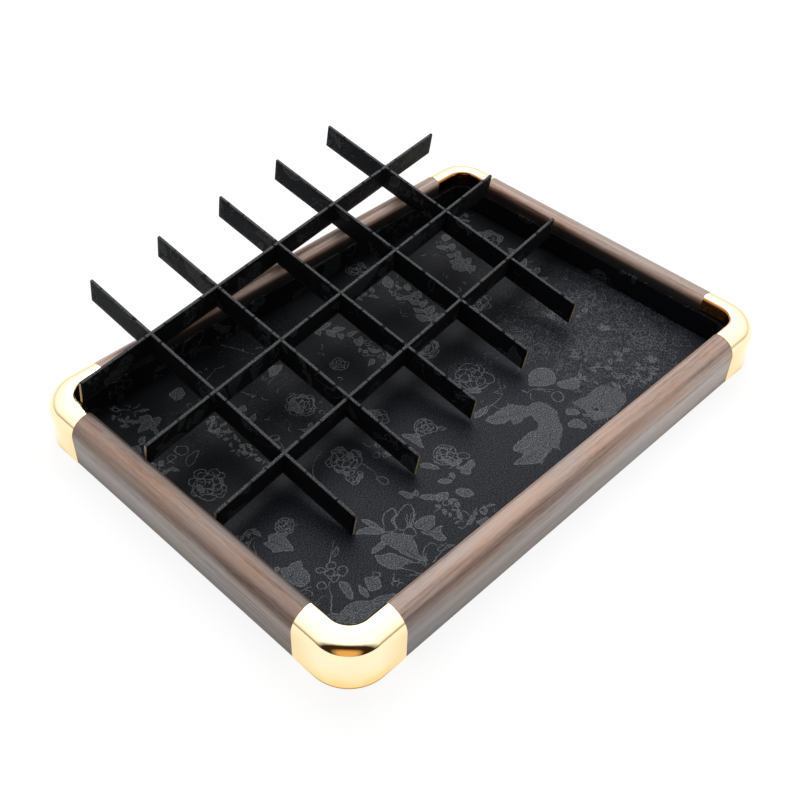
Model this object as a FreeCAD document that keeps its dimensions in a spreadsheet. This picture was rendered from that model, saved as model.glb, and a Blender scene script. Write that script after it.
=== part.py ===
import FreeCAD, Part
import math
import os
import Sketcher

# Divided display tray: a shallow fabric-lined tray with hollow wood-grain rails and gold corner
# caps, and an egg-crate grid of board strips that is lifted out and leans on the back rail.
# Units are millimetres. X runs along the long side, Y along the short side, Z is up.
# The origin is the centre of the underside, on the surface the tray stands on.

Vector = FreeCAD.Vector
Rotation = FreeCAD.Rotation
Placement = FreeCAD.Placement

SIZES = {
    # tray as a whole, measured over the corner caps
    "tray_length": 350.0,
    "tray_width": 250.0,
    "tray_height": 30.0,
    # rail section
    "rail_width": 15.0,
    "rail_crest": 0.5,
    "rail_inner_radius": 3.5,
    "rail_wall": 1.4,
    "rebate_width": 4.0,
    # corner caps
    "cap_return": 23.0,
    "cap_proud": 0.25,
    "cap_outer_corner": 23.0,
    "cap_inner_corner": 11.0,
    "cap_wall": 1.6,
    "cap_end_wall": 3.0,
    "hollow_bevel_setback": 4.8,
    "hollow_inner_bevel": 1.0,
    "tongue_length": 40.0,
    "tongue_height": 8.0,
    "tongue_clearance": 0.15,
    # layers of the floor, from below
    "felt_thickness": 0.5,
    "base_thickness": 2.0,
    "base_edge_clearance": 0.3,
    "felt_inset": 1.0,
    "floor_board_thickness": 0.8,
    "cloth_thickness": 0.2,
    "floor_edge_clearance": 0.2,
    # liners of the inner walls
    "liner_board_thickness": 1.5,
    "liner_height": 15.7,
    "liner_back_gap": 0.1,
    "liner_joint_gap": 0.2,
    # strips of the grid
    "strip_height": 16.0,
    "strip_board_thickness": 1.5,
    "long_strip_end_clearance": 0.5,
    "short_strip_end_clearance": 0.2,
    "slot_clearance": 0.35,
    "slot_extra_depth": 0.1,
    "long_strip_count": 3.0,
    "short_strip_count": 5.0,
    # how the lifted grid lies
    "grid_centre_x": -2.0,
    "grid_centre_y": 63.4,
    "short_strip_yaw": 1.16,
    "long_strip_yaw": 7.04,
    "rest_gap": 0.3,
    "rail_gap": 0.3,
}

LENGTH_TOLERANCE = 1e-4

doc = FreeCAD.newDocument("divided_tray")
sheet = doc.addObject("Spreadsheet::Sheet", "sizes")
for row, (alias, size) in enumerate(SIZES.items(), start=1):
    sheet.set("A%d" % row, alias)
    sheet.set("B%d" % row, str(size))
    sheet.setAlias("B%d" % row, alias)
doc.recompute()

parts = []


def value(expression):
    """Number that an expression on the sheet gives."""
    return float(sheet.evalExpression(expression))


def sized(text):
    """Expression text with every size's name pointed at the sheet."""
    words = []
    word = ""
    for letter in text + " ":
        if letter.isalnum() or letter == "_":
            word += letter
            continue
        words.append("sizes." + word if word in SIZES else word)
        words.append(letter)
        word = ""
    return "".join(words).strip()


# Sizes that follow from the driving ones.
RAIL_TOP = "(tray_height - cap_proud)"
RAIL_OUTER_RADIUS = "(rail_width - rail_crest - rail_inner_radius)"
CAP_LEG = "(rail_width + cap_return)"
BASE_EDGE = "(rail_width - rebate_width + base_edge_clearance)"
BASE_TOP = "(felt_thickness + base_thickness)"
FLOOR_EDGE = "(rail_width + floor_edge_clearance)"
FLOOR_BOARD_TOP = "(%s + floor_board_thickness)" % BASE_TOP
FLOOR_TOP = "(%s + cloth_thickness)" % FLOOR_BOARD_TOP
LINER_THICKNESS = "(liner_board_thickness + cloth_thickness)"
LINER_FACE = "(rail_width + liner_back_gap + liner_board_thickness + cloth_thickness)"
STRIP_THICKNESS = "(strip_board_thickness + 2 * cloth_thickness)"
INNER_LENGTH = "(tray_length - 2 * %s)" % LINER_FACE
INNER_WIDTH = "(tray_width - 2 * %s)" % LINER_FACE
LONG_STRIP_LENGTH = "(%s - 2 * long_strip_end_clearance)" % INNER_LENGTH
SHORT_STRIP_LENGTH = "(%s - 2 * short_strip_end_clearance)" % INNER_WIDTH
# Equal compartments: the clear spaces and the strips between them fill the inside exactly.
SHORT_STRIP_PITCH = "((%s + %s) / (short_strip_count + 1))" % (INNER_LENGTH, STRIP_THICKNESS)
LONG_STRIP_PITCH = "((%s + %s) / (long_strip_count + 1))" % (INNER_WIDTH, STRIP_THICKNESS)
# A slot lets the other strip through at the angle at which the loose grid is racked.
RACKING = "(long_strip_yaw - short_strip_yaw)"
SLOT_WIDTH = ("(%s * (1 / cos(%s * 1 deg) + tan(abs(%s) * 1 deg)) + slot_clearance)"
              % (STRIP_THICKNESS, RACKING, RACKING))
SLOT_DEPTH = "(strip_height / 2 + slot_extra_depth)"


def number(text):
    return value(sized(text))


def bind(thing, prop, text):
    thing.setExpression(prop, sized(text))


def new_body(name):
    body = doc.addObject("PartDesign::Body", name)
    body.Label = name
    parts.append(body)
    return body


def origin_plane(body, role):
    return [f for f in body.Origin.OriginFeatures if f.Role == role][0]


def new_sketch(body, role, name, height="0"):
    """Sketch on one of the body's own origin planes, moved along the plane's normal by height."""
    sketch = body.newObject("Sketcher::SketchObject", "%s_%s" % (body.Name, name))
    sketch.AttachmentSupport = [(origin_plane(body, role), "")]
    sketch.MapMode = "FlatFace"
    if height != "0":
        bind(sketch, "AttachmentOffset.Base.z", height)
    doc.recompute()
    return sketch


def draw_outline(sketch, corners):
    """Closed outline of level and upright lines. Each corner is a pair of expressions, with a
    third one for its radius where it is round. It runs anticlockwise round the material."""
    count = len(corners)
    points = [Vector(number(corner[0]), number(corner[1]), 0) for corner in corners]
    radii = [number(corner[2]) if len(corner) > 2 else 0 for corner in corners]
    heading = [(points[(i + 1) % count] - points[i]).normalize() for i in range(count)]
    for i in range(count):
        after = (i + 1) % count
        sketch.addGeometry(Part.LineSegment(points[i] + heading[i] * radii[i],
                                            points[after] - heading[i] * radii[after]))
    for i in range(count):
        level = corners[i][1] == corners[(i + 1) % count][1]
        sketch.addConstraint(Sketcher.Constraint("Horizontal" if level else "Vertical", i))
        place_line(sketch, i, corners[i][1 if level else 0], level)
    for i in range(count):
        before = (i - 1) % count
        if not radii[i]:
            sketch.addConstraint(Sketcher.Constraint("Coincident", before, 2, i, 1))
            continue
        centre = points[i] + (heading[i] - heading[before]) * radii[i]
        turns_left = heading[before].cross(heading[i]).z > 0
        start = centre - heading[i] * radii[i] if turns_left else centre + heading[before] * radii[i]
        angle = math.atan2(start.y - centre.y, start.x - centre.x)
        circle = Part.Circle(centre, Vector(0, 0, 1), radii[i])
        arc = sketch.addGeometry(Part.ArcOfCircle(circle, angle, angle + math.pi / 2))
        first, last = (1, 2) if turns_left else (2, 1)
        sketch.addConstraint(Sketcher.Constraint("Tangent", before, 2, arc, first))
        sketch.addConstraint(Sketcher.Constraint("Tangent", arc, last, i, 1))
        name_size(sketch, Sketcher.Constraint("Radius", arc, radii[i]), "radius_%d" % i,
                  corners[i][2])
    doc.recompute()


def place_line(sketch, line, text, level):
    """Hold a level line at its height, or an upright one at its distance across."""
    if near(number(text), 0):
        sketch.addConstraint(Sketcher.Constraint("PointOnObject", line, 1, -1 if level else -2))
        return
    kind = "DistanceY" if level else "DistanceX"
    label = "%s_%d" % ("height" if level else "across", line)
    name_size(sketch, Sketcher.Constraint(kind, -1, 1, line, 1, number(text)), label, text)


def name_size(sketch, constraint, label, text):
    index = sketch.addConstraint(constraint)
    sketch.renameConstraint(index, label)
    bind(sketch, "Constraints." + label, text)


def box_corners(left, bottom, right, top):
    return [(left, bottom), (right, bottom), (right, top), (left, top)]


def centred_corners(length, width, radius):
    """Outline with four round corners about the origin."""
    right = "(%s / 2)" % length
    back = "(%s / 2)" % width
    left = "(0 - %s)" % right
    front = "(0 - %s)" % back
    return [corner + (radius,) for corner in box_corners(left, front, right, back)]


def pad(body, sketch, name, length, symmetric=False, reverse=False):
    feature = body.newObject("PartDesign::Pad", "%s_%s" % (body.Name, name))
    feature.Profile = sketch
    feature.SideType = "Symmetric" if symmetric else "One side"
    feature.Reversed = reverse
    bind(feature, "Length", length)
    doc.recompute()
    return feature


def pocket(body, sketch, name, depth=None, symmetric=False, reverse=False):
    """Pocket of a depth, or right through when no depth is given; it has to take material away."""
    before = body.Shape.Volume
    feature = body.newObject("PartDesign::Pocket", "%s_%s" % (body.Name, name))
    feature.Profile = sketch
    feature.SideType = "Symmetric" if symmetric else "One side"
    feature.Reversed = reverse
    if depth is None:
        feature.Type = "ThroughAll"
    else:
        bind(feature, "Length", depth)
    doc.recompute()
    if not body.Shape.Volume < before:
        raise RuntimeError("%s cuts nothing" % feature.Name)
    return feature


def dress_edges(body, kind, name, prop, size, chosen):
    """Fillet or chamfer of the edges of the body's present shape for which chosen(edge) is true."""
    tip = body.Tip
    names = ["Edge%d" % (i + 1) for i, edge in enumerate(tip.Shape.Edges) if chosen(edge)]
    if not names:
        raise RuntimeError("%s_%s finds no edge" % (body.Name, name))
    feature = body.newObject(kind, "%s_%s" % (body.Name, name))
    feature.Base = (tip, names)
    bind(feature, prop, size)
    doc.recompute()


def fillet(body, name, radius, chosen):
    """Round the edges of the body's present shape for which chosen(edge) is true."""
    dress_edges(body, "PartDesign::Fillet", name, "Radius", radius, chosen)


def chamfer(body, name, size, chosen):
    """Bevel the edges of the body's present shape for which chosen(edge) is true."""
    dress_edges(body, "PartDesign::Chamfer", name, "Size", size, chosen)


def near(a, b):
    return abs(a - b) < LENGTH_TOLERANCE


# Section of the rails' chamber: left, floor, right, roof, measured from the tray's outside.
CHAMBER = ("(cap_proud + rail_wall)", "(%s + rail_wall)" % BASE_TOP, "(rail_width - rail_wall)",
           "(tray_height - cap_proud - rail_wall)")


# ---- rails ------------------------------------------------------------------------------------

def make_rail(name, span, position, turn):
    """Hollow rail: upright outer face, domed top that falls faster on the inside, and a rebate
    for the base board along the lower inner edge. Its length runs along its own X."""
    body = new_body(name)
    seat = "(rail_width - rebate_width)"
    section = new_sketch(body, "YZ_Plane", "section")
    draw_outline(section, [("cap_proud", "0"), (seat, "0"), (seat, BASE_TOP),
                           ("rail_width", BASE_TOP),
                           ("rail_width", RAIL_TOP, "rail_inner_radius"),
                           ("cap_proud", RAIL_TOP, "(%s - cap_proud)" % RAIL_OUTER_RADIUS)])
    pad(body, section, "bar", "(%s - 2 * %s)" % (span, CAP_LEG), symmetric=True)
    chamber = new_sketch(body, "YZ_Plane", "chamber_section")
    left, floor, right, roof = CHAMBER
    draw_outline(chamber, [(left, floor), (right, floor),
                           (right, roof, "(rail_inner_radius - rail_wall)"),
                           (left, roof, "(%s - cap_proud - rail_wall)" % RAIL_OUTER_RADIUS)])
    pocket(body, chamber, "chamber", symmetric=True)
    set_down(body, position, "0", turn)


def set_down(body, position, height, turn):
    """Place a body by expressions and turn it about the upright axis, in degrees."""
    for axis, text in zip("xyz", (position[0], position[1], height)):
        if text != "0":
            bind(body, "Placement.Base." + axis, text)
    body.Placement.Rotation = Rotation(Vector(0, 0, 1), turn)


HALF_LENGTH = "(tray_length / 2)"
HALF_WIDTH = "(tray_width / 2)"
MINUS_HALF_LENGTH = "(0 - tray_length / 2)"
MINUS_HALF_WIDTH = "(0 - tray_width / 2)"

make_rail("front_rail", "tray_length", ("0", MINUS_HALF_WIDTH), 0)
make_rail("right_rail", "tray_width", (HALF_LENGTH, "0"), 90)
make_rail("back_rail", "tray_length", ("0", HALF_WIDTH), 180)
make_rail("left_rail", "tray_width", (MINUS_HALF_LENGTH, "0"), 270)


# ---- corner caps ------------------------------------------------------------------------------

def leg_pair(outer, inner, leg_end, outer_bend, inner_bend):
    """L-shaped outline of two legs between the lines outer and inner, with its two bends."""
    return [(outer, outer, outer_bend), (leg_end, outer), (leg_end, inner),
            (inner, inner, inner_bend), (inner, leg_end), (outer, leg_end)]


def dress_side(body, dress, name, size, height, side, bend):
    """Fillet or chamfer the run of level edges at a height that follows one side of both legs
    and the bend between them."""
    level = number(height)
    straight = number(side)
    bend_radius = number(bend)

    def chosen(edge):
        box = edge.BoundBox
        if not (near(box.ZMin, level) and near(box.ZMax, level)):
            return False
        if edge.Curve.TypeId == "Part::GeomCircle":
            return near(edge.Curve.Radius, bend_radius)
        on_x_leg = near(box.YMin, straight) and near(box.YMax, straight)
        on_y_leg = near(box.XMin, straight) and near(box.XMax, straight)
        return on_x_leg or on_y_leg
    dress(body, name, size, chosen)


def make_cap(name, position, turn):
    """Hollow corner casting with the rails' profile, rounded in plan outside and inside, with a
    tongue on each leg that plugs into the rail's chamber. Its corner is its own origin and its
    legs run along its own X and Y."""
    body = new_body(name)
    plan = new_sketch(body, "XY_Plane", "plan")
    draw_outline(plan, leg_pair("0", "rail_width", CAP_LEG,
                                "cap_outer_corner", "cap_inner_corner"))
    pad(body, plan, "block", "tray_height")
    inner_wall = "(rail_width - cap_wall)"
    outer_bend = "(cap_outer_corner - cap_wall)"
    inner_bend = "(cap_inner_corner + cap_wall)"
    ceiling = "(tray_height - cap_wall)"
    hollow_plan = new_sketch(body, "XY_Plane", "hollow_plan")
    draw_outline(hollow_plan, leg_pair("cap_wall", inner_wall, "(%s - cap_end_wall)" % CAP_LEG,
                                       outer_bend, inner_bend))
    pocket(body, hollow_plan, "hollow", ceiling, reverse=True)
    dress_side(body, chamfer, "hollow_outer_bevel",
               "%s - hollow_bevel_setback" % RAIL_OUTER_RADIUS, ceiling, "cap_wall",
               outer_bend)
    dress_side(body, chamfer, "hollow_inner_bevel", "hollow_inner_bevel", ceiling, inner_wall,
               inner_bend)
    dress_side(body, fillet, "outer_dome", RAIL_OUTER_RADIUS, "tray_height", "0",
               "cap_outer_corner")
    dress_side(body, fillet, "inner_dome", "rail_inner_radius", "tray_height", "rail_width",
               "cap_inner_corner")

    seat = "(rail_width - rebate_width)"
    rebate_plan = new_sketch(body, "XY_Plane", "rebate_plan")
    draw_outline(rebate_plan, box_corners(seat, seat, CAP_LEG, CAP_LEG))
    pocket(body, rebate_plan, "rebate", BASE_TOP, reverse=True)

    left, floor, right, roof = CHAMBER
    tongue_foot = "(%s + tongue_clearance)" % floor
    tongue_section = box_corners("(%s + tongue_clearance)" % left, tongue_foot,
                                 "(%s - tongue_clearance)" % right,
                                 "(%s + tongue_height)" % tongue_foot)
    x_tongue = new_sketch(body, "YZ_Plane", "x_tongue_section", CAP_LEG)
    draw_outline(x_tongue, tongue_section)
    pad(body, x_tongue, "x_tongue", "tongue_length")
    y_tongue = new_sketch(body, "XZ_Plane", "y_tongue_section", "0 - " + CAP_LEG)
    draw_outline(y_tongue, tongue_section)
    pad(body, y_tongue, "y_tongue", "tongue_length", reverse=True)
    set_down(body, position, "0", turn)


make_cap("front_left_cap", (MINUS_HALF_LENGTH, MINUS_HALF_WIDTH), 0)
make_cap("front_right_cap", (HALF_LENGTH, MINUS_HALF_WIDTH), 90)
make_cap("back_right_cap", (HALF_LENGTH, HALF_WIDTH), 180)
make_cap("back_left_cap", (MINUS_HALF_LENGTH, HALF_WIDTH), 270)


# ---- floor ------------------------------------------------------------------------------------

def make_sheet(name, edge, bottom, thickness):
    """Flat sheet whose edge lies a distance in from the tray's outside. Its round corners are
    concentric with the inner corners of the caps."""
    body = new_body(name)
    plan = new_sketch(body, "XY_Plane", "plan")
    draw_outline(plan, centred_corners("(tray_length - 2 * %s)" % edge,
                                       "(tray_width - 2 * %s)" % edge,
                                       "(cap_inner_corner + rail_width - %s)" % edge))
    pad(body, plan, "panel", thickness)
    set_down(body, ("0", "0"), bottom, 0)


make_sheet("underside_felt", "(%s + felt_inset)" % BASE_EDGE, "0", "felt_thickness")
make_sheet("base_board", BASE_EDGE, "felt_thickness", "base_thickness")
make_sheet("floor_board", FLOOR_EDGE, BASE_TOP, "floor_board_thickness")
make_sheet("floor_cloth", FLOOR_EDGE, FLOOR_BOARD_TOP, "cloth_thickness")


# ---- liners of the inner walls ----------------------------------------------------------------

LINER_BACK = "(rail_width + liner_back_gap)"
STRAIGHT_LINER_LENGTH = "(tray_length - 2 * %s - 2 * liner_joint_gap)" % CAP_LEG
LINER_BOARD_HEIGHT = "(liner_height - cloth_thickness)"


def make_straight_liner(side, y, turn):
    """Board along a long wall, and the cloth on its inner face, folded over its top edge.
    Their own Y points into the tray, from the wall."""
    board = new_body(side + "_liner_board")
    section = new_sketch(board, "YZ_Plane", "section")
    draw_outline(section, box_corners("0", "0", "liner_board_thickness", LINER_BOARD_HEIGHT))
    pad(board, section, "strip", STRAIGHT_LINER_LENGTH, symmetric=True)
    cloth = new_body(side + "_liner_cloth")
    fold = new_sketch(cloth, "YZ_Plane", "section")
    draw_outline(fold, [("liner_board_thickness", "0"), (LINER_THICKNESS, "0"),
                        (LINER_THICKNESS, "liner_height"), ("0", "liner_height"),
                        ("0", LINER_BOARD_HEIGHT), ("liner_board_thickness", LINER_BOARD_HEIGHT)])
    pad(cloth, fold, "fold", STRAIGHT_LINER_LENGTH, symmetric=True)
    for body in (board, cloth):
        set_down(body, ("0", y), FLOOR_TOP, turn)


def bracket_corners(inner):
    """Plan of a strip along a short wall, bent round the caps' inner corners into a return along
    each long wall. The wall lies along the vertical axis; inner is the strip's thickness."""
    back = "(tray_width / 2 - %s)" % LINER_BACK
    front = "(0 - %s)" % back
    back_face = "(%s - %s)" % (back, inner)
    front_face = "(%s + %s)" % (front, inner)
    reach = "(cap_return - liner_back_gap)"
    wall_bend = "(cap_inner_corner - liner_back_gap)"
    face_bend = "(%s - %s)" % (wall_bend, inner)
    return [("0", front, wall_bend), (reach, front), (reach, front_face),
            (inner, front_face, face_bend), (inner, back_face, face_bend),
            (reach, back_face), (reach, back), ("0", back, wall_bend)]


def make_bent_liner(side, x, turn):
    """Board along a short wall, bent round both corners, and the cloth on its inner face."""
    board = new_body(side + "_liner_board")
    plan = new_sketch(board, "XY_Plane", "plan")
    draw_outline(plan, bracket_corners("liner_board_thickness"))
    pad(board, plan, "strip", LINER_BOARD_HEIGHT)
    cloth = new_body(side + "_liner_cloth")
    cover_plan = new_sketch(cloth, "XY_Plane", "cover_plan")
    draw_outline(cover_plan, bracket_corners(LINER_THICKNESS))
    pad(cloth, cover_plan, "cover", "liner_height")
    board_plan = new_sketch(cloth, "XY_Plane", "board_plan")
    draw_outline(board_plan, bracket_corners("liner_board_thickness"))
    pocket(cloth, board_plan, "board_space", LINER_BOARD_HEIGHT, reverse=True)
    for body in (board, cloth):
        set_down(body, (x, "0"), FLOOR_TOP, turn)


make_straight_liner("front", "(%s + %s)" % (MINUS_HALF_WIDTH, LINER_BACK), 0)
make_straight_liner("back", "(%s - %s)" % (HALF_WIDTH, LINER_BACK), 180)
make_bent_liner("left", "(%s + %s)" % (MINUS_HALF_LENGTH, LINER_BACK), 0)
make_bent_liner("right", "(%s - %s)" % (HALF_LENGTH, LINER_BACK), 180)


# ---- grid of strips ---------------------------------------------------------------------------

STEEPEST_TILT = math.radians(40)
ANGLE_TOLERANCE = 1e-9


def resting_tilt():
    """Tilt of the grid about X, in radians: the near end of the first short strip stands on the
    floor, and the short strips lie on the back rail where its inner dome meets their slope."""
    long_yaw = math.radians(number("long_strip_yaw"))
    short_yaw = math.radians(number("short_strip_yaw"))
    reach = number("(short_strip_count - 1) / 2 * %s" % SHORT_STRIP_PITCH)
    heel = reach * math.sin(long_yaw) + number(SHORT_STRIP_LENGTH) / 2 * math.cos(short_yaw)
    heel_height = number("%s + rest_gap" % FLOOR_TOP)
    dome_radius = number("rail_inner_radius")
    dome_ahead = number("tray_width / 2 - rail_width + rail_inner_radius - grid_centre_y")
    dome_height = number("tray_height - cap_proud - rail_inner_radius")
    gap = number("rail_gap")
    low, high = 0.0, STEEPEST_TILT
    while high - low > ANGLE_TOLERANCE:
        tilt = (low + high) / 2
        centre_height = heel_height + heel * math.sin(tilt)
        lift = dome_ahead * math.sin(tilt) + (centre_height - dome_height) * math.cos(tilt)
        if lift < dome_radius + gap:
            low = tilt
        else:
            high = tilt
    return tilt, centre_height


TILT, CENTRE_HEIGHT = resting_tilt()
GRID_PLACE = Placement(Vector(number("grid_centre_x"), number("grid_centre_y"), CENTRE_HEIGHT),
                       Rotation(Vector(1, 0, 0), math.degrees(TILT)))
LONG_WAY = Rotation(Vector(0, 0, 1), number("long_strip_yaw"))
SHORT_WAY = Rotation(Vector(0, 0, 1), 90 + number("short_strip_yaw"))


def cut_slots(body, count, pitch, open_top):
    """Row of slots half way through a strip, open at its top or its bottom edge."""
    first = "((1 - %s) / 2 * %s)" % (count, pitch)
    half_width = "(%s / 2)" % SLOT_WIDTH
    ends = ("(strip_height - %s)" % SLOT_DEPTH, "strip_height") if open_top else ("0", SLOT_DEPTH)
    opening = new_sketch(body, "XZ_Plane", "slot_outline")
    draw_outline(opening, box_corners("(%s - %s)" % (first, half_width), ends[0],
                                      "(%s + %s)" % (first, half_width), ends[1]))
    slot = pocket(body, opening, "slot", symmetric=True)
    row = body.newObject("PartDesign::LinearPattern", body.Name + "_slot_row")
    row.Originals = [slot]
    row.Direction = (opening, ["H_Axis"])
    row.Mode = "Spacing"
    bind(row, "Offset", pitch)
    bind(row, "Occurrences", count)
    body.Tip = row
    doc.recompute()


def make_strip(name, length, count, pitch, open_top, place):
    """Strip of board with a row of slots, and the cloth folded over its top edge and down both
    faces. The ends and the walls of the slots stay bare board."""
    board = new_body(name + "_board")
    board_section = new_sketch(board, "YZ_Plane", "section")
    half_board = "(strip_board_thickness / 2)"
    half_strip = "(%s / 2)" % STRIP_THICKNESS
    board_top = "(strip_height - cloth_thickness)"
    minus_board = "(0 - %s)" % half_board
    minus_strip = "(0 - %s)" % half_strip
    draw_outline(board_section, box_corners(minus_board, "0", half_board, board_top))
    pad(board, board_section, "strip", length, symmetric=True)
    cloth = new_body(name + "_cloth")
    fold = new_sketch(cloth, "YZ_Plane", "fold_section")
    draw_outline(fold, [(half_board, "0"), (half_strip, "0"), (half_strip, "strip_height"),
                        (minus_strip, "strip_height"), (minus_strip, "0"), (minus_board, "0"),
                        (minus_board, board_top), (half_board, board_top)])
    pad(cloth, fold, "fold", length, symmetric=True)
    for body in (board, cloth):
        cut_slots(body, count, pitch, open_top)
        body.Placement = place


def middle_out(count):
    """Steps from the middle of a row of that many, such as -1, 0 and 1 for three."""
    return [i - (count - 1) / 2 for i in range(count)]


for i, step in enumerate(middle_out(int(number("short_strip_count")))):
    along_long = LONG_WAY.multVec(Vector(step * number(SHORT_STRIP_PITCH), 0, 0))
    make_strip("short_divider_%d" % (i + 1), SHORT_STRIP_LENGTH, "long_strip_count",
               LONG_STRIP_PITCH, True, GRID_PLACE * Placement(along_long, SHORT_WAY))

for i, step in enumerate(middle_out(int(number("long_strip_count")))):
    along_short = SHORT_WAY.multVec(Vector(-step * number(LONG_STRIP_PITCH), 0, 0))
    make_strip("long_divider_%d" % (i + 1), LONG_STRIP_LENGTH, "short_strip_count",
               SHORT_STRIP_PITCH, False, GRID_PLACE * Placement(along_short, LONG_WAY))


# ---- check and export -------------------------------------------------------------------------

doc.recompute()
for thing in doc.Objects:
    if "Invalid" in thing.State or "Error" in thing.State:
        raise RuntimeError("%s: %s" % (thing.Name, thing.State))

os.makedirs("parts", exist_ok=True)
for body in parts:
    shape = body.Shape
    if shape.isNull() or not shape.isValid() or len(shape.Solids) != 1:
        raise RuntimeError("%s has no single valid solid" % body.Label)
    shape.exportStep("parts/%s.step" % body.Label)

print("%d pieces, grid tilt %.2f degrees" % (len(parts), math.degrees(TILT)))
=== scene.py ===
import math
import random

import bpy
import numpy as np
from mathutils import Matrix, Vector
from mathutils.geometry import delaunay_2d_cdt


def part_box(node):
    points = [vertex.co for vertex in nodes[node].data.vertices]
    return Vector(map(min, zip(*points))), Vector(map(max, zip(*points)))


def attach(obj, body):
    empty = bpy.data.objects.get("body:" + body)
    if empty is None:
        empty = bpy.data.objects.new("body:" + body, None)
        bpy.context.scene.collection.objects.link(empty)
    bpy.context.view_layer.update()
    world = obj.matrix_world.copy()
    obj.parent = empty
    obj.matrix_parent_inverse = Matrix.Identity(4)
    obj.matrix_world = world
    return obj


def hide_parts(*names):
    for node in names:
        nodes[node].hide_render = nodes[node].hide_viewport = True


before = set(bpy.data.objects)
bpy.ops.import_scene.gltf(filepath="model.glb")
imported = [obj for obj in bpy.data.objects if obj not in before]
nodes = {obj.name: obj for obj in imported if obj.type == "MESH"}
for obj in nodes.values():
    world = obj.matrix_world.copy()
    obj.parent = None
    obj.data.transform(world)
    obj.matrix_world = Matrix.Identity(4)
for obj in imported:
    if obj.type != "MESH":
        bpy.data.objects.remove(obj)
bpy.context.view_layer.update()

# Divided display tray with its grid of strips lifted out and leaning on the back rail.
# Blender's own units are metres. Cloth is cut and woven flat, in millimetres, and then laid.

MM = 0.001


# ---- shader nodes ----

def feed_socket(socket, feed):
    """Links the output feed to the socket, or sets the socket to the value feed. A socket's id_data
    is the node tree that it is in."""
    if isinstance(feed, bpy.types.NodeSocket):
        socket.id_data.links.new(feed, socket)
    else:
        socket.default_value = feed


def add(tree, kind, feeds=(), **settings):
    """New node with its settings; feeds pairs an input with a value or with the output it takes."""
    node = tree.nodes.new(kind)
    for name, setting in settings.items():
        setattr(node, name, setting)
    for name, feed in dict(feeds).items():
        feed_socket(node.inputs[name], feed)
    return node


def new_material(name, **values):
    """Material with a Principled surface whose constants are set on its own sockets."""
    material = bpy.data.materials.new(name)
    material.use_nodes = True
    surface = material.node_tree.nodes["Principled BSDF"]
    for socket, value in values.items():
        surface.inputs[socket.replace("_", " ")].default_value = value
    return material, material.node_tree, surface


def noise(place, scale, detail=4.0, roughness=0.55):
    feeds = {"Vector": place, "Scale": scale, "Detail": detail, "Roughness": roughness}
    return add(place.id_data, "ShaderNodeTexNoise", feeds).outputs["Fac"]


def stretched(place, scale):
    feeds = {"Vector": place, "Scale": scale}
    return add(place.id_data, "ShaderNodeMapping", feeds).outputs["Vector"]


def part(place, axis):
    """The coordinate of a place along that axis."""
    return add(place.id_data, "ShaderNodeSeparateXYZ", {"Vector": place}).outputs[axis]


def ramp(factor, stops):
    """Colour ramp whose stops are pairs of a position and a colour."""
    node = add(factor.id_data, "ShaderNodeValToRGB", {"Fac": factor})
    elements = node.color_ramp.elements
    while len(elements) < len(stops):
        elements.new(0.5)
    for element, (position, colour) in zip(elements, stops):
        element.position = position
        element.color = (*colour, 1.0)
    return node.outputs["Color"]


def grey_ramp(factor, stops):
    """The same from pairs of a position and a lightness."""
    return ramp(factor, [(position, (value,) * 3) for position, value in stops])


def spread(factor, low, high, start, end):
    """factor's range from start to end, as a range from low to high."""
    feeds = {"Value": factor, "From Min": start, "From Max": end, "To Min": low, "To Max": high}
    return add(factor.id_data, "ShaderNodeMapRange", feeds).outputs["Result"]


def calculate(operation, first, second=0.0):
    feeds = {0: first, 1: second}
    return add(first.id_data, "ShaderNodeMath", feeds, operation=operation).outputs["Value"]


def total(first, second):
    return calculate("ADD", first, second)


def product(first, second):
    return calculate("MULTIPLY", first, second)


def blended(factor, first, second, way="MIX"):
    """Mix of two colours; factor is how much of the second shows."""
    node = add(first.id_data, "ShaderNodeMix", data_type="RGBA", blend_type=way)
    inputs = {socket.identifier: socket for socket in node.inputs}
    for name, feed in (("Factor_Float", factor), ("A_Color", first), ("B_Color", second)):
        feed_socket(inputs[name], feed)
    return next(s for s in node.outputs if s.identifier == "Result_Color")


def tinted(colour, tint):
    """The colour multiplied by the tint."""
    return blended(1.0, colour, tint, "MULTIPLY")


def cover(surface, colour, height, distance, strength=1.0):
    """Gives the surface its colour, and a bump of that many metres."""
    feeds = {"Height": height, "Distance": distance, "Strength": strength}
    bump = add(surface.id_data, "ShaderNodeBump", feeds)
    feed_socket(surface.inputs["Base Color"], colour)
    feed_socket(surface.inputs["Normal"], bump.outputs["Normal"])


def mixed_shader(share, first, second):
    """Mix of two shader nodes; share is how much of the second shows."""
    feeds = {0: share, 1: first.outputs[0], 2: second.outputs[0]}
    return add(share.id_data, "ShaderNodeMixShader", feeds)


def object_place(tree):
    return add(tree, "ShaderNodeTexCoord").outputs["Object"]


# ---- finishes ----

# Half sizes of the tray along X and Y, in metres: outside, and inside its rails.
TRAY_HALF = (0.175, 0.125)
WELL_HALF = (0.160, 0.110)
RAIL_WIDTH = 0.015
# The film's tones are drawn dark, so that its lightness ramps stay under 1, and lifted by this.
FILM_GAIN = 2.25
# What the middle tone of a weave divides the sum of its dark and light tones by.
MIDDLE_TONE = 3.5
# Millimetres of the flat cloth over which its painted shade darkens it towards the tray's back.
SHADE_START = -42.0
SHADE_END = 22.0


def over_the_edge(place, edges):
    """How far a place of the tray lies beyond |x| = edges[0] and beyond |y| = edges[1], in metres."""
    return [calculate("SUBTRACT", calculate("ABSOLUTE", part(place, axis)), edge)
            for axis, edge in zip("XY", edges)]


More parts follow.
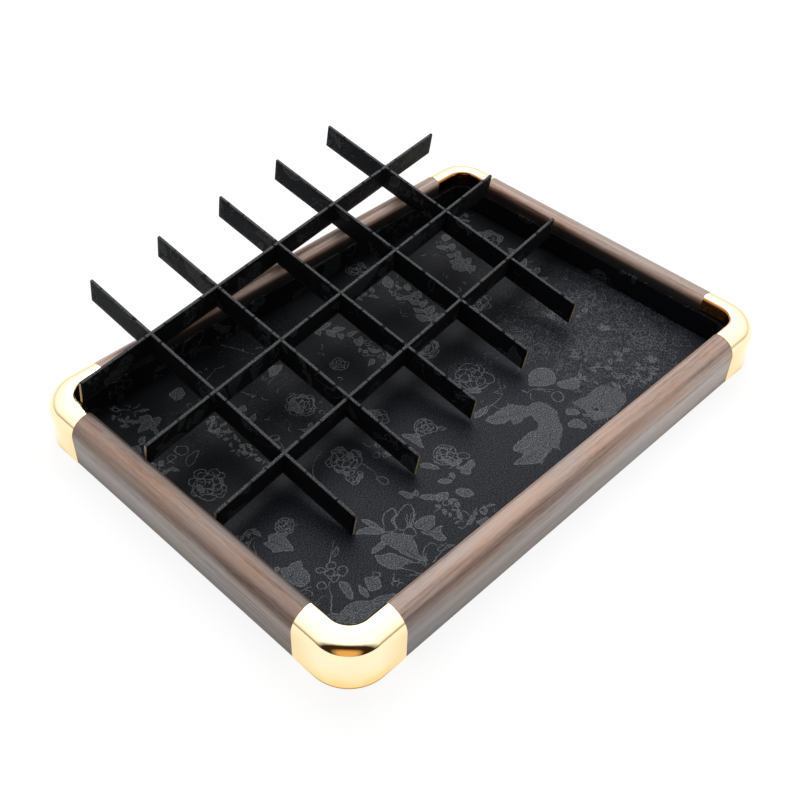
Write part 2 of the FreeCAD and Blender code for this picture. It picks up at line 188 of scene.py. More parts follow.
def polished_gold():
    """Bright gold plating: nearly a mirror. Its colour holds painted reflection and shade: deeper near its
    foot, towards the ends of the cap's two legs and on the wall inside the tray."""
    material, tree, surface = new_material("polished_gold", Metallic=1.0)
    place = object_place(tree)
    height = part(place, "Z")
    tint = noise(place, 45.0, 2.0)
    level = total(height, spread(tint, -0.003, 0.003, 0.3, 0.7))
    # painted reflection: deeper gold near the foot, paler towards the top of the dome
    colour = ramp(spread(level, 0.0, 1.0, 0.0, 0.014), [
        (0.0, (1.0, 0.66, 0.24)), (0.40, (1.0, 0.82, 0.45)), (0.8, (1.0, 0.86, 0.53)),
        (1.0, (1.0, 0.87, 0.58))])
    # painted contact shadow: its lowest millimetre is dark brown
    edge = ramp(spread(height, 0.0, 1.0, 0.0003, 0.0012),
                [(0.0, (0.40, 0.27, 0.14)), (1.0, (1.0, 1.0, 1.0))])
    colour = tinted(colour, edge)
    # painted reflection: deeper gold towards the ends of the cap's two legs
    leg = total(*over_the_edge(place, TRAY_HALF))
    end = product(spread(leg, 1.0, 0.0, -0.037, -0.020),
                  spread(height, 1.0, 0.0, 0.019, 0.025))
    colour = blended(end, colour, (0.93, 0.72, 0.36, 1.0))
    # painted shade and reflection: dark orange on the wall inside the tray
    inner = calculate("MAXIMUM", *over_the_edge(place, WELL_HALF))
    inside = product(spread(inner, 1.0, 0.0, 0.0008, 0.0030),
                     spread(height, 1.0, 0.0, 0.0288, 0.0299))
    colour = blended(inside, colour, (0.36, 0.14, 0.04, 1.0))
    smear = noise(place, 90.0)
    feed_socket(surface.inputs["Roughness"], spread(smear, 0.05, 0.11, 0.3, 0.7))
    cover(surface, colour, noise(place, 55.0, 1.0), 0.00013)
    return material


def wood_film(name, along, crest, flank, side, gloss=0.5, coat=0.3):
    """Satin wood-grain film drawn over a metal rail; its streaks run along that axis. Its colour holds
    painted reflection: greyer on the rail's sides, warmer over the crest, and a dark streak along each
    shoulder. Crest is its painted light and shade from the inner face to the outer one, and flank its
    painted light and shade up the inner face. The outer side has painted shade at its foot, and side is
    its painted lightness at the two ends of the well."""
    material, tree, surface = new_material(
        name, Specular_IOR_Level=gloss, Coat_Weight=coat, Coat_Roughness=0.3)
    place = object_place(tree)
    height = part(place, "Z")

    def streaks(across, lengthwise, detail, roughness):
        """Noise drawn out along the rail."""
        scale = [across] * 3
        scale[along] = lengthwise
        return noise(stretched(place, scale), 1.0, detail, roughness)

    fine = streaks(700.0, 24.0, 3.0, 0.6)
    broad = streaks(260.0, 7.0, 3.0, 0.5)
    pore = streaks(900.0, 150.0, 2.0, 0.6)
    cloud = streaks(60.0, 24.0, 2.0, 0.5)
    level = total(height, spread(broad, -0.0016, 0.0016, 0.3, 0.7))
    # painted reflection by height: grey side, warm crest and a dark streak at the shoulder
    tone = ramp(spread(level, 0.0, 1.0, 0.010, 0.030), [
        (0.0, (0.40, 0.348, 0.325)), (0.50, (0.43, 0.375, 0.350)), (0.62, (0.31, 0.235, 0.205)),
        (0.72, (0.27, 0.195, 0.165)), (0.82, (0.44, 0.320, 0.265)), (1.0, (0.52, 0.385, 0.325))])
    streak = total(product(fine, 0.3), product(broad, 0.52))
    streak = total(streak, product(pore, 0.18))
    grain = ramp(streak, [
        (0.38, (0.44, 0.35, 0.31)), (0.47, (0.78, 0.72, 0.69)), (0.58, (1.0, 1.0, 1.0))])
    warmth = ramp(cloud, [(0.38, (1.0, 0.91, 0.84)), (0.62, (0.93, 0.96, 0.98))])
    colour = tinted(tinted(tone, grain), warmth)
    beyond = over_the_edge(place, WELL_HALF)[1 - along]
    # painted light and shade across the rail, and up its inner face near the well
    light = grey_ramp(spread(beyond, 0.0, 1.0, 0.0, RAIL_WIDTH), crest)
    inner = grey_ramp(spread(height, 0.0, 1.0, 0.020, 0.030), flank)
    light = blended(spread(beyond, 1.0, 0.0, 0.0008, 0.0020), light, inner)
    colour = tinted(colour, light)
    half = WELL_HALF[along]
    # painted shade on the outer side: darker at its foot and towards one end of the well
    painted_side_shade = product(spread(height, 0.46, 1.0, 0.0, 0.014),
                   spread(part(place, "XY"[along]), *side, -half, half))
    outer = spread(beyond, 0.0, 1.0, 0.0113, 0.0132)
    colour = blended(outer, colour, painted_side_shade, "MULTIPLY")
    colour = tinted(colour, (FILM_GAIN, FILM_GAIN, FILM_GAIN, 1.0))
    feed_socket(surface.inputs["Roughness"], spread(fine, 0.36, 0.48, 0.3, 0.7))
    cover(surface, colour, fine, 0.00004, 0.6)
    return material


def grey_board():
    """Raw cut edge of layered board: tan fibres in thin plies."""
    material, tree, surface = new_material("grey_board", Roughness=0.9)
    place = object_place(tree)
    fibre = noise(place, 2600.0, 3.0, 0.7)
    blotch = noise(place, 300.0, 3.0, 0.6)
    mixed = product(fibre, total(blotch, 0.5))
    colour = ramp(mixed, [
        (0.30, (0.40, 0.25, 0.13)), (0.48, (0.74, 0.54, 0.33)), (0.68, (0.90, 0.75, 0.54))])
    cover(surface, colour, fibre, 0.0002, 0.8)
    return material


def fibrous(name, dark, light, scale, detail, depth, strength, **values):
    """Tangled fibres of two tones, raised by depth."""
    material, tree, surface = new_material(name, **values)
    fibre = noise(object_place(tree), scale, detail, 0.7)
    colour = ramp(fibre, [(0.35, dark), (0.65, light)])
    cover(surface, colour, fibre, depth, strength)
    return material


def brocade(name, dark, light, roughness=0.5, drawn=None, near=1.0, far=1.0, gloss=0.08):
    """One tone of a jacquard weave. Its threads follow the flat cloth's own map, in millimetres.
    Drawn is the colour of fine curled lines woven into the tone. Near and far are its painted shade: its
    lightness towards the tray's front and its back."""
    material, tree, surface = new_material(
        name, Roughness=roughness, Specular_IOR_Level=gloss, Sheen_Weight=0.03, Sheen_Roughness=0.4)
    flat = add(tree, "ShaderNodeUVMap", uv_map="cut").outputs["UV"]
    weft = noise(stretched(flat, (0.5, 3.4, 1.0)), 1.0, 2.0, 0.6)
    warp = noise(stretched(flat, (3.4, 0.5, 1.0)), 1.0, 2.0, 0.6)
    threads = product(total(weft, warp), 0.5)
    speck = noise(flat, 1.7, 1.0, 0.6)
    grain = total(product(threads, 0.3), product(speck, 0.7))
    middle = [(a + b) / MIDDLE_TONE for a, b in zip(dark, light)]
    colour = ramp(grain, [(0.41, dark), (0.52, middle), (0.63, light)])
    if drawn:
        waves = product(noise(flat, 0.22, 3.0, 0.6), 7.0)
        contour = calculate("PINGPONG", waves, 0.5)
        line = spread(contour, 0.9, 0.0, 0.03, 0.15)
        colour = blended(line, colour, (*drawn, 1.0))
    # painted shade: darker towards the tray's back
    shade = spread(part(flat, "Y"), near, far, SHADE_START, SHADE_END)
    cover(surface, tinted(colour, shade), threads, 0.00012, 0.7)
    return material


# Painted light and shade of the film across a rail: its lightness from its inner face to its outer one.
LONG_CREST = [(0.0, 0.34), (0.12, 0.36), (0.20, 0.41), (0.31, 0.46), (0.46, 0.61), (0.60, 0.68),
              (0.70, 0.70), (0.81, 0.53), (0.90, 1.00), (0.965, 0.93), (0.985, 0.60), (1.0, 0.57)]
LEFT_CREST = [(0.0, 0.05), (0.10, 0.06), (0.18, 0.11), (0.28, 0.24), (0.37, 0.41), (0.46, 0.52),
              (0.55, 0.54), (0.64, 0.55), (0.78, 0.50), (0.87, 0.66), (0.96, 0.68), (1.0, 0.63)]
RIGHT_CREST = [(0.0, 0.62), (0.08, 0.60), (0.14, 0.40), (0.22, 0.36), (0.40, 0.39), (0.51, 0.29),
               (0.70, 0.38), (1.0, 0.45)]
# Its painted light and shade up the inner face, from 20 to 30 mm.
LIT_FLANK = [(0.0, 0.04), (0.25, 0.07), (0.43, 0.20), (0.60, 1.00), (0.75, 0.95), (0.9, 0.66)]
DARK_FLANK = [(0.0, 0.05), (0.9, 0.09)]
# Its painted lightness on the outer side, at the left and right or the front and back end of the well.
LONG_SIDE = (0.64, 1.48)
SHORT_SIDE = (0.82, 1.07)
GOLD = polished_gold()
# one film in copies whose painted light and shade differ: front and back, left, and right; the left is also
# less glossy
LONG_FILM = wood_film("wood_film_long", 0, LONG_CREST, LIT_FLANK, LONG_SIDE)
LEFT_FILM = wood_film("wood_film_left", 1, LEFT_CREST, DARK_FLANK, SHORT_SIDE, gloss=0.3, coat=0.15)
RIGHT_FILM = wood_film("wood_film_right", 1, RIGHT_CREST, LIT_FLANK, SHORT_SIDE)
BOARD = grey_board()
# Dense dark needled felt, and the brown fibre board of the base.
FELT = fibrous("felt", (0.008, 0.008, 0.009), (0.030, 0.030, 0.033), 1500.0, 4.0, 0.0003, 0.8,
               Roughness=0.95, Sheen_Weight=0.4)
BASE = fibrous("fibre_board", (0.16, 0.10, 0.055), (0.30, 0.20, 0.12), 900.0, 5.0, 0.0001, 0.5,
               Roughness=0.8)
# The tones of the weave, in the order of their material slots on every cloth piece.
GROUND, SATIN, LINE, SCRAWL, WORN_SHEEN = range(5)


def weave(suffix, near, far, far_figure, gloss):
    """The five tones; all but the worn one take painted shade towards the back, lighter on the figures than
    on the ground.
    """
    ground = {"near": near, "far": far, "gloss": gloss}
    figure = {"near": near, "far": far_figure, "gloss": gloss}
    return [
        brocade("brocade_ground" + suffix, (0.000, 0.001, 0.003), (0.072, 0.081, 0.099), **ground),
        brocade("brocade_satin" + suffix, (0.026, 0.029, 0.034), (0.260, 0.275, 0.297), **figure),
        brocade("brocade_line" + suffix, (0.090, 0.096, 0.106), (0.340, 0.356, 0.378), **figure),
        brocade("brocade_scrawl" + suffix, (0.000, 0.001, 0.003), (0.050, 0.057, 0.071),
                drawn=(0.120, 0.130, 0.145), **ground),
        # the worn tone: partly rubbed wear, partly a painted highlight on the strips' tops
        brocade("brocade_worn_sheen" + suffix, (0.035, 0.037, 0.040), (0.210, 0.215, 0.220),
                roughness=0.6),
    ]


# lying cloth: painted shade from a little lighter at the front to dark at the back
LYING_WEAVE = weave("", 1.03, 0.24, 0.70, 0.06)
# painted shade: a darker copy of the weave for upright cloth, which throws its satin's light past the eye
UPRIGHT_SHADED_WEAVE = weave("_upright_shaded", 0.34, 0.34, 0.42, 0.03)


def finish_of(name):
    """The finish of a CAD node; the cloth has none, because the brocade takes its place."""
    if name.endswith("_cap"):
        return GOLD
    own = {"front_rail": LONG_FILM, "back_rail": LONG_FILM, "left_rail": LEFT_FILM,
           "right_rail": RIGHT_FILM, "underside_felt": FELT, "base_board": BASE}
    return own.get(name, BOARD if name.endswith("_board") else None)


for node_name, node in nodes.items():
    if finish_of(node_name):
        node.data.materials.clear()
        node.data.materials.append(finish_of(node_name))
        node.data.polygons.foreach_set("material_index", [0] * len(node.data.polygons))


# ---- the brocade's pattern, flat, in millimetres ----

# Closed outlines with their tones, in the order in which they cover each other.
pattern = []
OUTLINE_WIDTH = 0.5
FINE_WIDTH = 0.4
VEIN_WIDTH = 0.5
# Steps of a smooth curve from one given point to the next, along a stroke and round a shape.
STROKE_STEPS = 5
ROUND_STEPS = 3
THREAD_STEP = 1.5
THREAD_JITTER = 0.15
STROKE_JITTER = 0.06
LEAST_AREA = 0.05
# Degrees from one lobe of a leaf to the next.
LOBE_OPENING = 42
thread = random.Random(5)


def turned(points, place, heading):
    """Points about the origin, turned by heading degrees and moved to place."""
    c, s = math.cos(math.radians(heading)), math.sin(math.radians(heading))
    return [(place[0] + c * x - s * y, place[1] + s * x + c * y) for x, y in points]


def signed_area(outline):
    following = outline[1:] + outline[:1]
    return sum(a[0] * b[1] - b[0] * a[1] for a, b in zip(outline, following)) / 2


def inset(outline, depth):
    """The outline moved inwards, with its sharp tips cut back."""
    side = 1 if signed_area(outline) > 0 else -1
    moved = []
    for i, here in enumerate(outline):
        before = Vector(outline[i - 1])
        after = Vector(outline[(i + 1) % len(outline)])
        here = Vector(here)
        into = (here - before).normalized()
        out_of = (after - here).normalized()
        way = into + out_of
        if way.length < 0.3:
            moved.append(tuple(here - into * depth * 2))
            continue
        way.normalize()
        square = Vector((-way.y, way.x)) * side
        reach = depth / max(0.5, abs(square.dot(Vector((-into.y, into.x)))))
        moved.append(tuple(here + square * reach))
    return moved


def wandered(point):
    """The point moved by the slow unevenness of hand-drawn work."""
    u, v = point
    return (u + 0.45 * math.sin(0.43 * v + 0.17 * u + 1.0) + 0.22 * math.sin(1.1 * v - 0.7 * u + 2.0),
            v + 0.45 * math.sin(0.39 * u - 0.21 * v + 4.0) + 0.22 * math.sin(1.2 * u + 0.6 * v + 5.0))


def frayed(outline, jitter):
    """The outline, anticlockwise, with points at most a step apart, each off its line by up to the
    jitter."""
    if signed_area(outline) < 0:
        outline = outline[::-1]
    points = []
    for here, after in zip(outline, outline[1:] + outline[:1]):
        here, after = Vector(here), Vector(after)
        count = max(1, math.ceil((after - here).length / THREAD_STEP))
        for i in range(count):
            u, v = wandered(here.lerp(after, i / count))
            points.append((u + thread.uniform(-1, 1) * jitter, v + thread.uniform(-1, 1) * jitter))
    return points


def crossings(outline):
    """Pairs of sides of a closed outline that cut each other."""
    start = np.array(outline)
    end = np.roll(start, -1, 0)

    def turn(a, b, c):
        return ((b[..., 0] - a[..., 0]) * (c[..., 1] - a[..., 1])
                - (b[..., 1] - a[..., 1]) * (c[..., 0] - a[..., 0]))

    a, b, c, d = start[:, None], end[:, None], start[None], end[None]
    cut = (turn(a, b, c) * turn(a, b, d) < 0) & (turn(c, d, a) * turn(c, d, b) < 0)
    return np.argwhere(np.triu(cut)).tolist()


def untangled(outline):
    """The outline with each loop that it makes where it crosses itself cut off there: an outline
    that crosses itself can't be filled."""
    pairs = crossings(outline)
    while pairs:
        i, j = pairs[0]
        a, b, c = Vector(outline[i]), Vector(outline[i + 1]), Vector(outline[j])
        d = Vector(outline[(j + 1) % len(outline)])
        meeting = tuple(a + (b - a) * ((c - a).cross(d - c) / (b - a).cross(d - c)))
        loop, rest = outline[i + 1:j + 1], outline[j + 1:] + outline[:i + 1]
        outline = [meeting] + max(loop, rest, key=len)
        pairs = crossings(outline)
    return outline


def paint(tone, outline, jitter=THREAD_JITTER):
    """Adds a filled outline to the pattern."""
    drawn = untangled(frayed(outline, jitter))
    if signed_area(drawn) > LEAST_AREA:
        pattern.append((tone, drawn))


def paint_edged(tone, outline, width=OUTLINE_WIDTH, edge=LINE):
    """A shape of one tone with a drawn outline."""
    paint(edge, outline)
    inner = inset(outline, width)
    if signed_area(inner) * signed_area(outline) > 0:
        paint(tone, inner)


def between(a, b, c, d, t):
    """Point at t from 0 to 1 on the smooth curve from b to c, with a before and d after them."""
    a, b, c, d = (Vector(p) for p in (a, b, c, d))
    return tuple(0.5 * (2 * b + (c - a) * t + (2 * a - 5 * b + 4 * c - d) * t * t
                        + (3 * b - a - 3 * c + d) * t ** 3))


def through(points):
    """Smooth line through the points."""
    ends = [points[0], *points, points[-1]]
    line = [between(*four, i / STROKE_STEPS) for four in zip(ends, ends[1:], ends[2:], ends[3:])
            for i in range(STROKE_STEPS)]
    return line + [tuple(points[-1])]


def around(points):
    """Smooth closed outline through the points."""
    count = len(points)
    return [between(*(points[(i + k - 1) % count] for k in range(4)), j / ROUND_STEPS)
            for i in range(count) for j in range(ROUND_STEPS)]


def read_points(text):
    """Points from text that gives each of them as u,v."""
    return [tuple(map(float, pair.split(","))) for pair in text.split()]


def shape(text, tone=SATIN, edged=True):
    """A motif of its own shape, given by points round it."""
    if edged:
        paint_edged(tone, around(read_points(text)))
    else:
        paint(tone, around(read_points(text)))


def band(line, width, pointed=False):
    """Outline of a stroke along a line, pointed at its end if told."""
    left, right = [], []
    for i, here in enumerate(line):
        way = (Vector(line[min(i + 1, len(line) - 1)]) - Vector(line[max(i - 1, 0)])).normalized()
        half = width / 2
        if pointed:
            half *= max(0.4, 1 - i / (len(line) - 1))
        square = Vector((-way.y, way.x)) * half
        left.append(tuple(Vector(here) + square))
        right.append(tuple(Vector(here) - square))
    return right + left[::-1]


def stroke(points, width, tone=LINE):
    """Smooth pointed stroke through the points."""
    paint(tone, band(through(points), width, pointed=True), STROKE_JITTER)


def stem(text, width):
    stroke(read_points(text), width)


def vein(text, width=VEIN_WIDTH):
    stroke(read_points(text), width, GROUND)


def curl(place, size, heading, bend, tone=LINE):
    """Short curved stroke from place, turning by bend degrees on its way."""
    line, here = [place], Vector(place)
    for i in range(5):
        a = math.radians(heading + bend * i / 4)
        here = here + Vector((math.cos(a), math.sin(a))) * size / 5
        line.append(tuple(here))
    paint(tone, band(line, FINE_WIDTH), STROKE_JITTER)


def leaf(place, length, width, heading, bend=0.08, tone=SATIN, vein_tone=GROUND):
    """Pointed leaf from its foot at place, with a vein along its middle if that has a tone."""
    ts = [i / 7 for i in range(8)]
    middle = [(length * t, bend * length * 4 * t * (1 - t)) for t in ts]
    half = [width / 2 * math.sin(math.pi * t ** 0.8) ** 0.85 if 0 < t < 1 else 0 for t in ts]
    below = [(x, y - h) for (x, y), h in zip(middle, half)]
    above = [(x, y + h) for (x, y), h in zip(middle, half)][-2:0:-1]
    paint_edged(tone, turned(below + above, place, heading), FINE_WIDTH)
    if vein_tone is not None:
        paint(vein_tone, band(turned(middle[1:-1], place, heading), FINE_WIDTH, pointed=True),
              STROKE_JITTER)


def lobed_leaf(place, size, heading, lobes=3):
    """Leaf of several pointed lobes from one foot, the middle one the longest."""
    for i in range(lobes):
        aside = i - (lobes - 1) / 2
        share = 1 - 0.22 * abs(aside)
        leaf(place, size * share, size * 0.48, heading + aside * LOBE_OPENING, bend=0.05 * aside)


def petal_outline(length, width, draw, points=16):
    """Uneven waved petal from its foot at the origin along +X."""
    waves = draw.choice((3, 4, 5))
    depth = draw.uniform(0.04, 0.12)
    start = draw.uniform(0, 2 * math.pi)
    lean = draw.uniform(-0.15, 0.15)
    outline = []
    for i in range(points):
        a = 2 * math.pi * i / points
        wave = 1 + depth * math.cos(waves * a + start) * (math.cos(a) > -0.3)
        x = length * 0.52 + length * 0.5 * math.cos(a) * wave
        outline.append((x, width / 2 * math.sin(a) * wave + lean * x))
    return outline


def peony(place, radius, heading, rings, petals, filled, seed, faint=False):
    """Full flower of uneven waved petals, drawn from the outermost ring inwards."""
    draw = random.Random(seed)
    empty, edge = (SCRAWL, SATIN) if faint else (GROUND, LINE)
    for level in range(rings):
        reach = radius * (1 - 0.6 * level / rings)
        count = max(4, petals - level)
        for i in range(count):
            way = heading + 360 * (i + 0.5 * (level % 2)) / count + draw.uniform(-17, 17)
            length = reach * draw.uniform(0.5, 0.85)
            width = 2 * math.pi * reach / count * draw.uniform(0.7, 1.15)
            foot = turned([(reach * draw.uniform(0.85, 1.12) - length, 0)], place, way)[0]
            tone = SATIN if draw.random() < filled else empty
            way += draw.uniform(-14, 14)
            petal = turned(petal_outline(length, width, draw), foot, way)
            paint_edged(tone, petal, FINE_WIDTH if faint else OUTLINE_WIDTH, edge)
            if draw.random() < 0.6:
                start = turned([(length * 0.35, width * draw.uniform(-0.2, 0.2))], foot, way)[0]
                curl(start, length * 0.45, way, draw.uniform(-50, 50), edge)
    for _ in range(3):
        curl(place, radius * 0.2, draw.uniform(0, 360), draw.uniform(90, 200), edge)


def bud(place, length, width, heading):
    """Closed bud: an outlined drop with a line down its middle."""
    leaf(place, length, width, heading, bend=0.0, tone=GROUND, vein_tone=LINE)


def ring(place, radius):
    """Berry: an uneven ring."""
    draw = random.Random(int(place[0] * 31 + place[1] * 17))
    outline = [(radius * draw.uniform(0.88, 1.12) * math.cos(math.pi * i / 6),
                radius * draw.uniform(0.88, 1.12) * math.sin(math.pi * i / 6)) for i in range(12)]
    paint_edged(GROUND, turned(outline, place, 0))


def crowd(place, across, deep, heading, size, seed, filled):
    """Crowded part of the pattern: small petals, leaves and curls, each over the last."""
    draw = random.Random(seed)
    for _ in range(int(0.75 * across * deep / size ** 2)):
        a, r = draw.uniform(0, 2 * math.pi), math.sqrt(draw.random())
        spot = (across / 2 * r * math.cos(a), deep / 2 * r * math.sin(a))
        foot = turned([spot], place, heading)[0]
        way = draw.uniform(0, 360)
        reach = size * draw.uniform(0.7, 1.5)
        kind = draw.random()
        if kind < filled * 0.7:
            leaf(foot, reach * 1.4, reach * 0.7, way, vein_tone=None)
        elif kind < 0.6:
            tone = SATIN if draw.random() < filled else GROUND
            paint_edged(tone, turned(petal_outline(reach, reach * 0.9, draw, 10), foot, way),
                        FINE_WIDTH)
        else:
            curl(foot, reach * 1.4, way, draw.uniform(-150, 150))


def spray(text, leaf_length, leaf_width, count, seed):
    """Stem with leaves on both sides in turn."""
    draw = random.Random(seed)
    line = through(read_points(text))
    paint(LINE, band(line, 0.6, pointed=True), STROKE_JITTER)
    for i in range(count):
        at = int((i + 0.7) / count * (len(line) - 2))
        way = Vector(line[at + 1]) - Vector(line[at])
        aside = draw.uniform(35, 60) * (1 if i % 2 else -1)
        size = draw.uniform(0.7, 1.15)
        leaf(line[at], leaf_length * size, leaf_width * size,
             math.degrees(math.atan2(way.y, way.x)) + aside)


def curls(place, across, deep, heading, count, seed, tone=LINE):
    """Loose curled strokes strewn over a patch."""
    draw = random.Random(seed)
    for _ in range(count):
        spot = (draw.uniform(-0.5, 0.5) * across, draw.uniform(-0.5, 0.5) * deep)
        curl(turned([spot], place, heading)[0], draw.uniform(2.5, 7), draw.uniform(0, 360),
             draw.uniform(-200, 200), tone)


def scrawl(place, across, deep, heading, seed):
    """Patch of finely figured ground with a ragged edge."""
    draw = random.Random(seed)
    outline = []
    for i in range(18):
        a = 2 * math.pi * i / 18
        reach = draw.uniform(0.8, 1.1) / 2
        outline.append((across * reach * math.cos(a), deep * reach * math.sin(a)))
    paint(SCRAWL, around(turned(outline, place, heading)))


def scrawled_ground():
    """Figured ground that lies under the motifs."""
    patches = [
        (112, -62, 100, 80, 0), (96, -16, 84, 56, 10), (140, -24, 50, 110, 0), (62, -84, 42, 30, 0),
        (30, -14, 34, 24, 0), (-128, 60, 54, 40, 20), (-60, 40, 50, 60, 0), (4, 56, 30, 70, 0),
        (60, 60, 40, 70, 0), (114, 66, 40, 76, 0), (-40, 96, 60, 24, 0), (90, 24, 50, 30, 0)]
    for seed, (u, v, across, deep, heading) in enumerate(patches):
        scrawl((u, v), across, deep, heading, seed)


def lily():
    """The big open flower by the end of the first strip."""
    shape("-92.5,-66 -89.4,-62.2 -84.3,-57.8 -79.9,-56.8 -77.4,-58.5 -79.3,-61.6 -84.3,-63.5 -86.9,-69.2 "
          "-89.4,-69.2", GROUND)
    shape("-86.2,-69.8 -84.3,-64.1 -79.3,-61.9 -73,-61 -69.5,-62.2 -69.8,-66 -74.2,-69.8 -78,-73 -81.8,-73",
          GROUND)
    for tip in ((-78, -66.7), (-75.5, -66), (-73, -67.3), (-71.7, -68.8)):
        stroke([(-82.4, -75), ((-82.4 + tip[0]) / 2 - 0.6, (-75 + tip[1]) / 2 + 0.5), tip], 0.9)
    shape("-85.6,-72.3 -81.8,-71.7 -79.3,-75.5 -81.8,-79.3 -85.6,-77.4", GROUND)
    shape("-95.4,-51.5 -91.9,-54.7 -91.3,-59.1 -92.5,-65.4 -94.2,-60.4")
    shape("-103.9,-56.6 -97.6,-56.6 -94.4,-59.1 -92.5,-66 -95.1,-65.4 -99.5,-61.6")
    shape("-107.9,-74.2 -105.8,-74.5 -100.7,-77.4 -97.6,-83.1 -95.7,-88.7 -99.5,-88.7 -105.8,-87.5 "
          "-108,-80.5")
    shape("-107.3,-72 -103.9,-69.4 -97.6,-68.9 -97,-72.3 -102,-72.4")
    shape("-96.9,-66.9 -91.3,-68.5 -87.5,-71.7 -84.3,-76.7 -85.6,-80.5 -88.8,-86.8 -91.9,-94.6 -94.4,-86.8 "
          "-96.3,-80.5 -97.3,-74.2")
    vein("-92.3,-92 -92.6,-84 -94.6,-76 -95.6,-69")
    shape("-79.3,-79.3 -76.8,-80.5 -73,-82.4 -67.7,-84.3 -71.7,-86.2 -72.4,-91.2 -73.6,-91.9 -76.8,-88.7 "
          "-78,-83.1")
    vein("-77.6,-81 -75,-84.5 -73.2,-89")
    shape("-78.3,-74.2 -74.2,-72.7 -69.8,-73 -66.4,-76.7 -69.8,-80.5 -73,-80.8 -76.8,-79.3")
    vein("-77,-76.6 -73,-76.4 -69,-76.8")
    stem("-91.9,-95.7 -90,-91.9 -87.5,-89.4 -84.3,-88.1 -80.6,-87.5 -79.3,-89.4 -79,-92.5 -75.5,-93.4", 0.6)
    stem("-89.4,-97.5 -84.3,-95.7 -79.3,-95.4 -74.2,-97.4", 0.6)
    stem("-108.3,-87.6 -110.6,-90.6 -113.4,-92.2", 0.7)
    stem("-104,-88.3 -100.5,-93 -97.5,-98", 0.6)
    stem("-97,-89 -94.4,-92 -91.6,-97", 0.6)
    stem("-100.7,-77.4 -103.4,-82 -104,-87", 0.4)
    curls((-84, -94), 22, 8, 0, 9, seed=15)
    curls((-106, -93), 14, 8, 0, 6, seed=16)


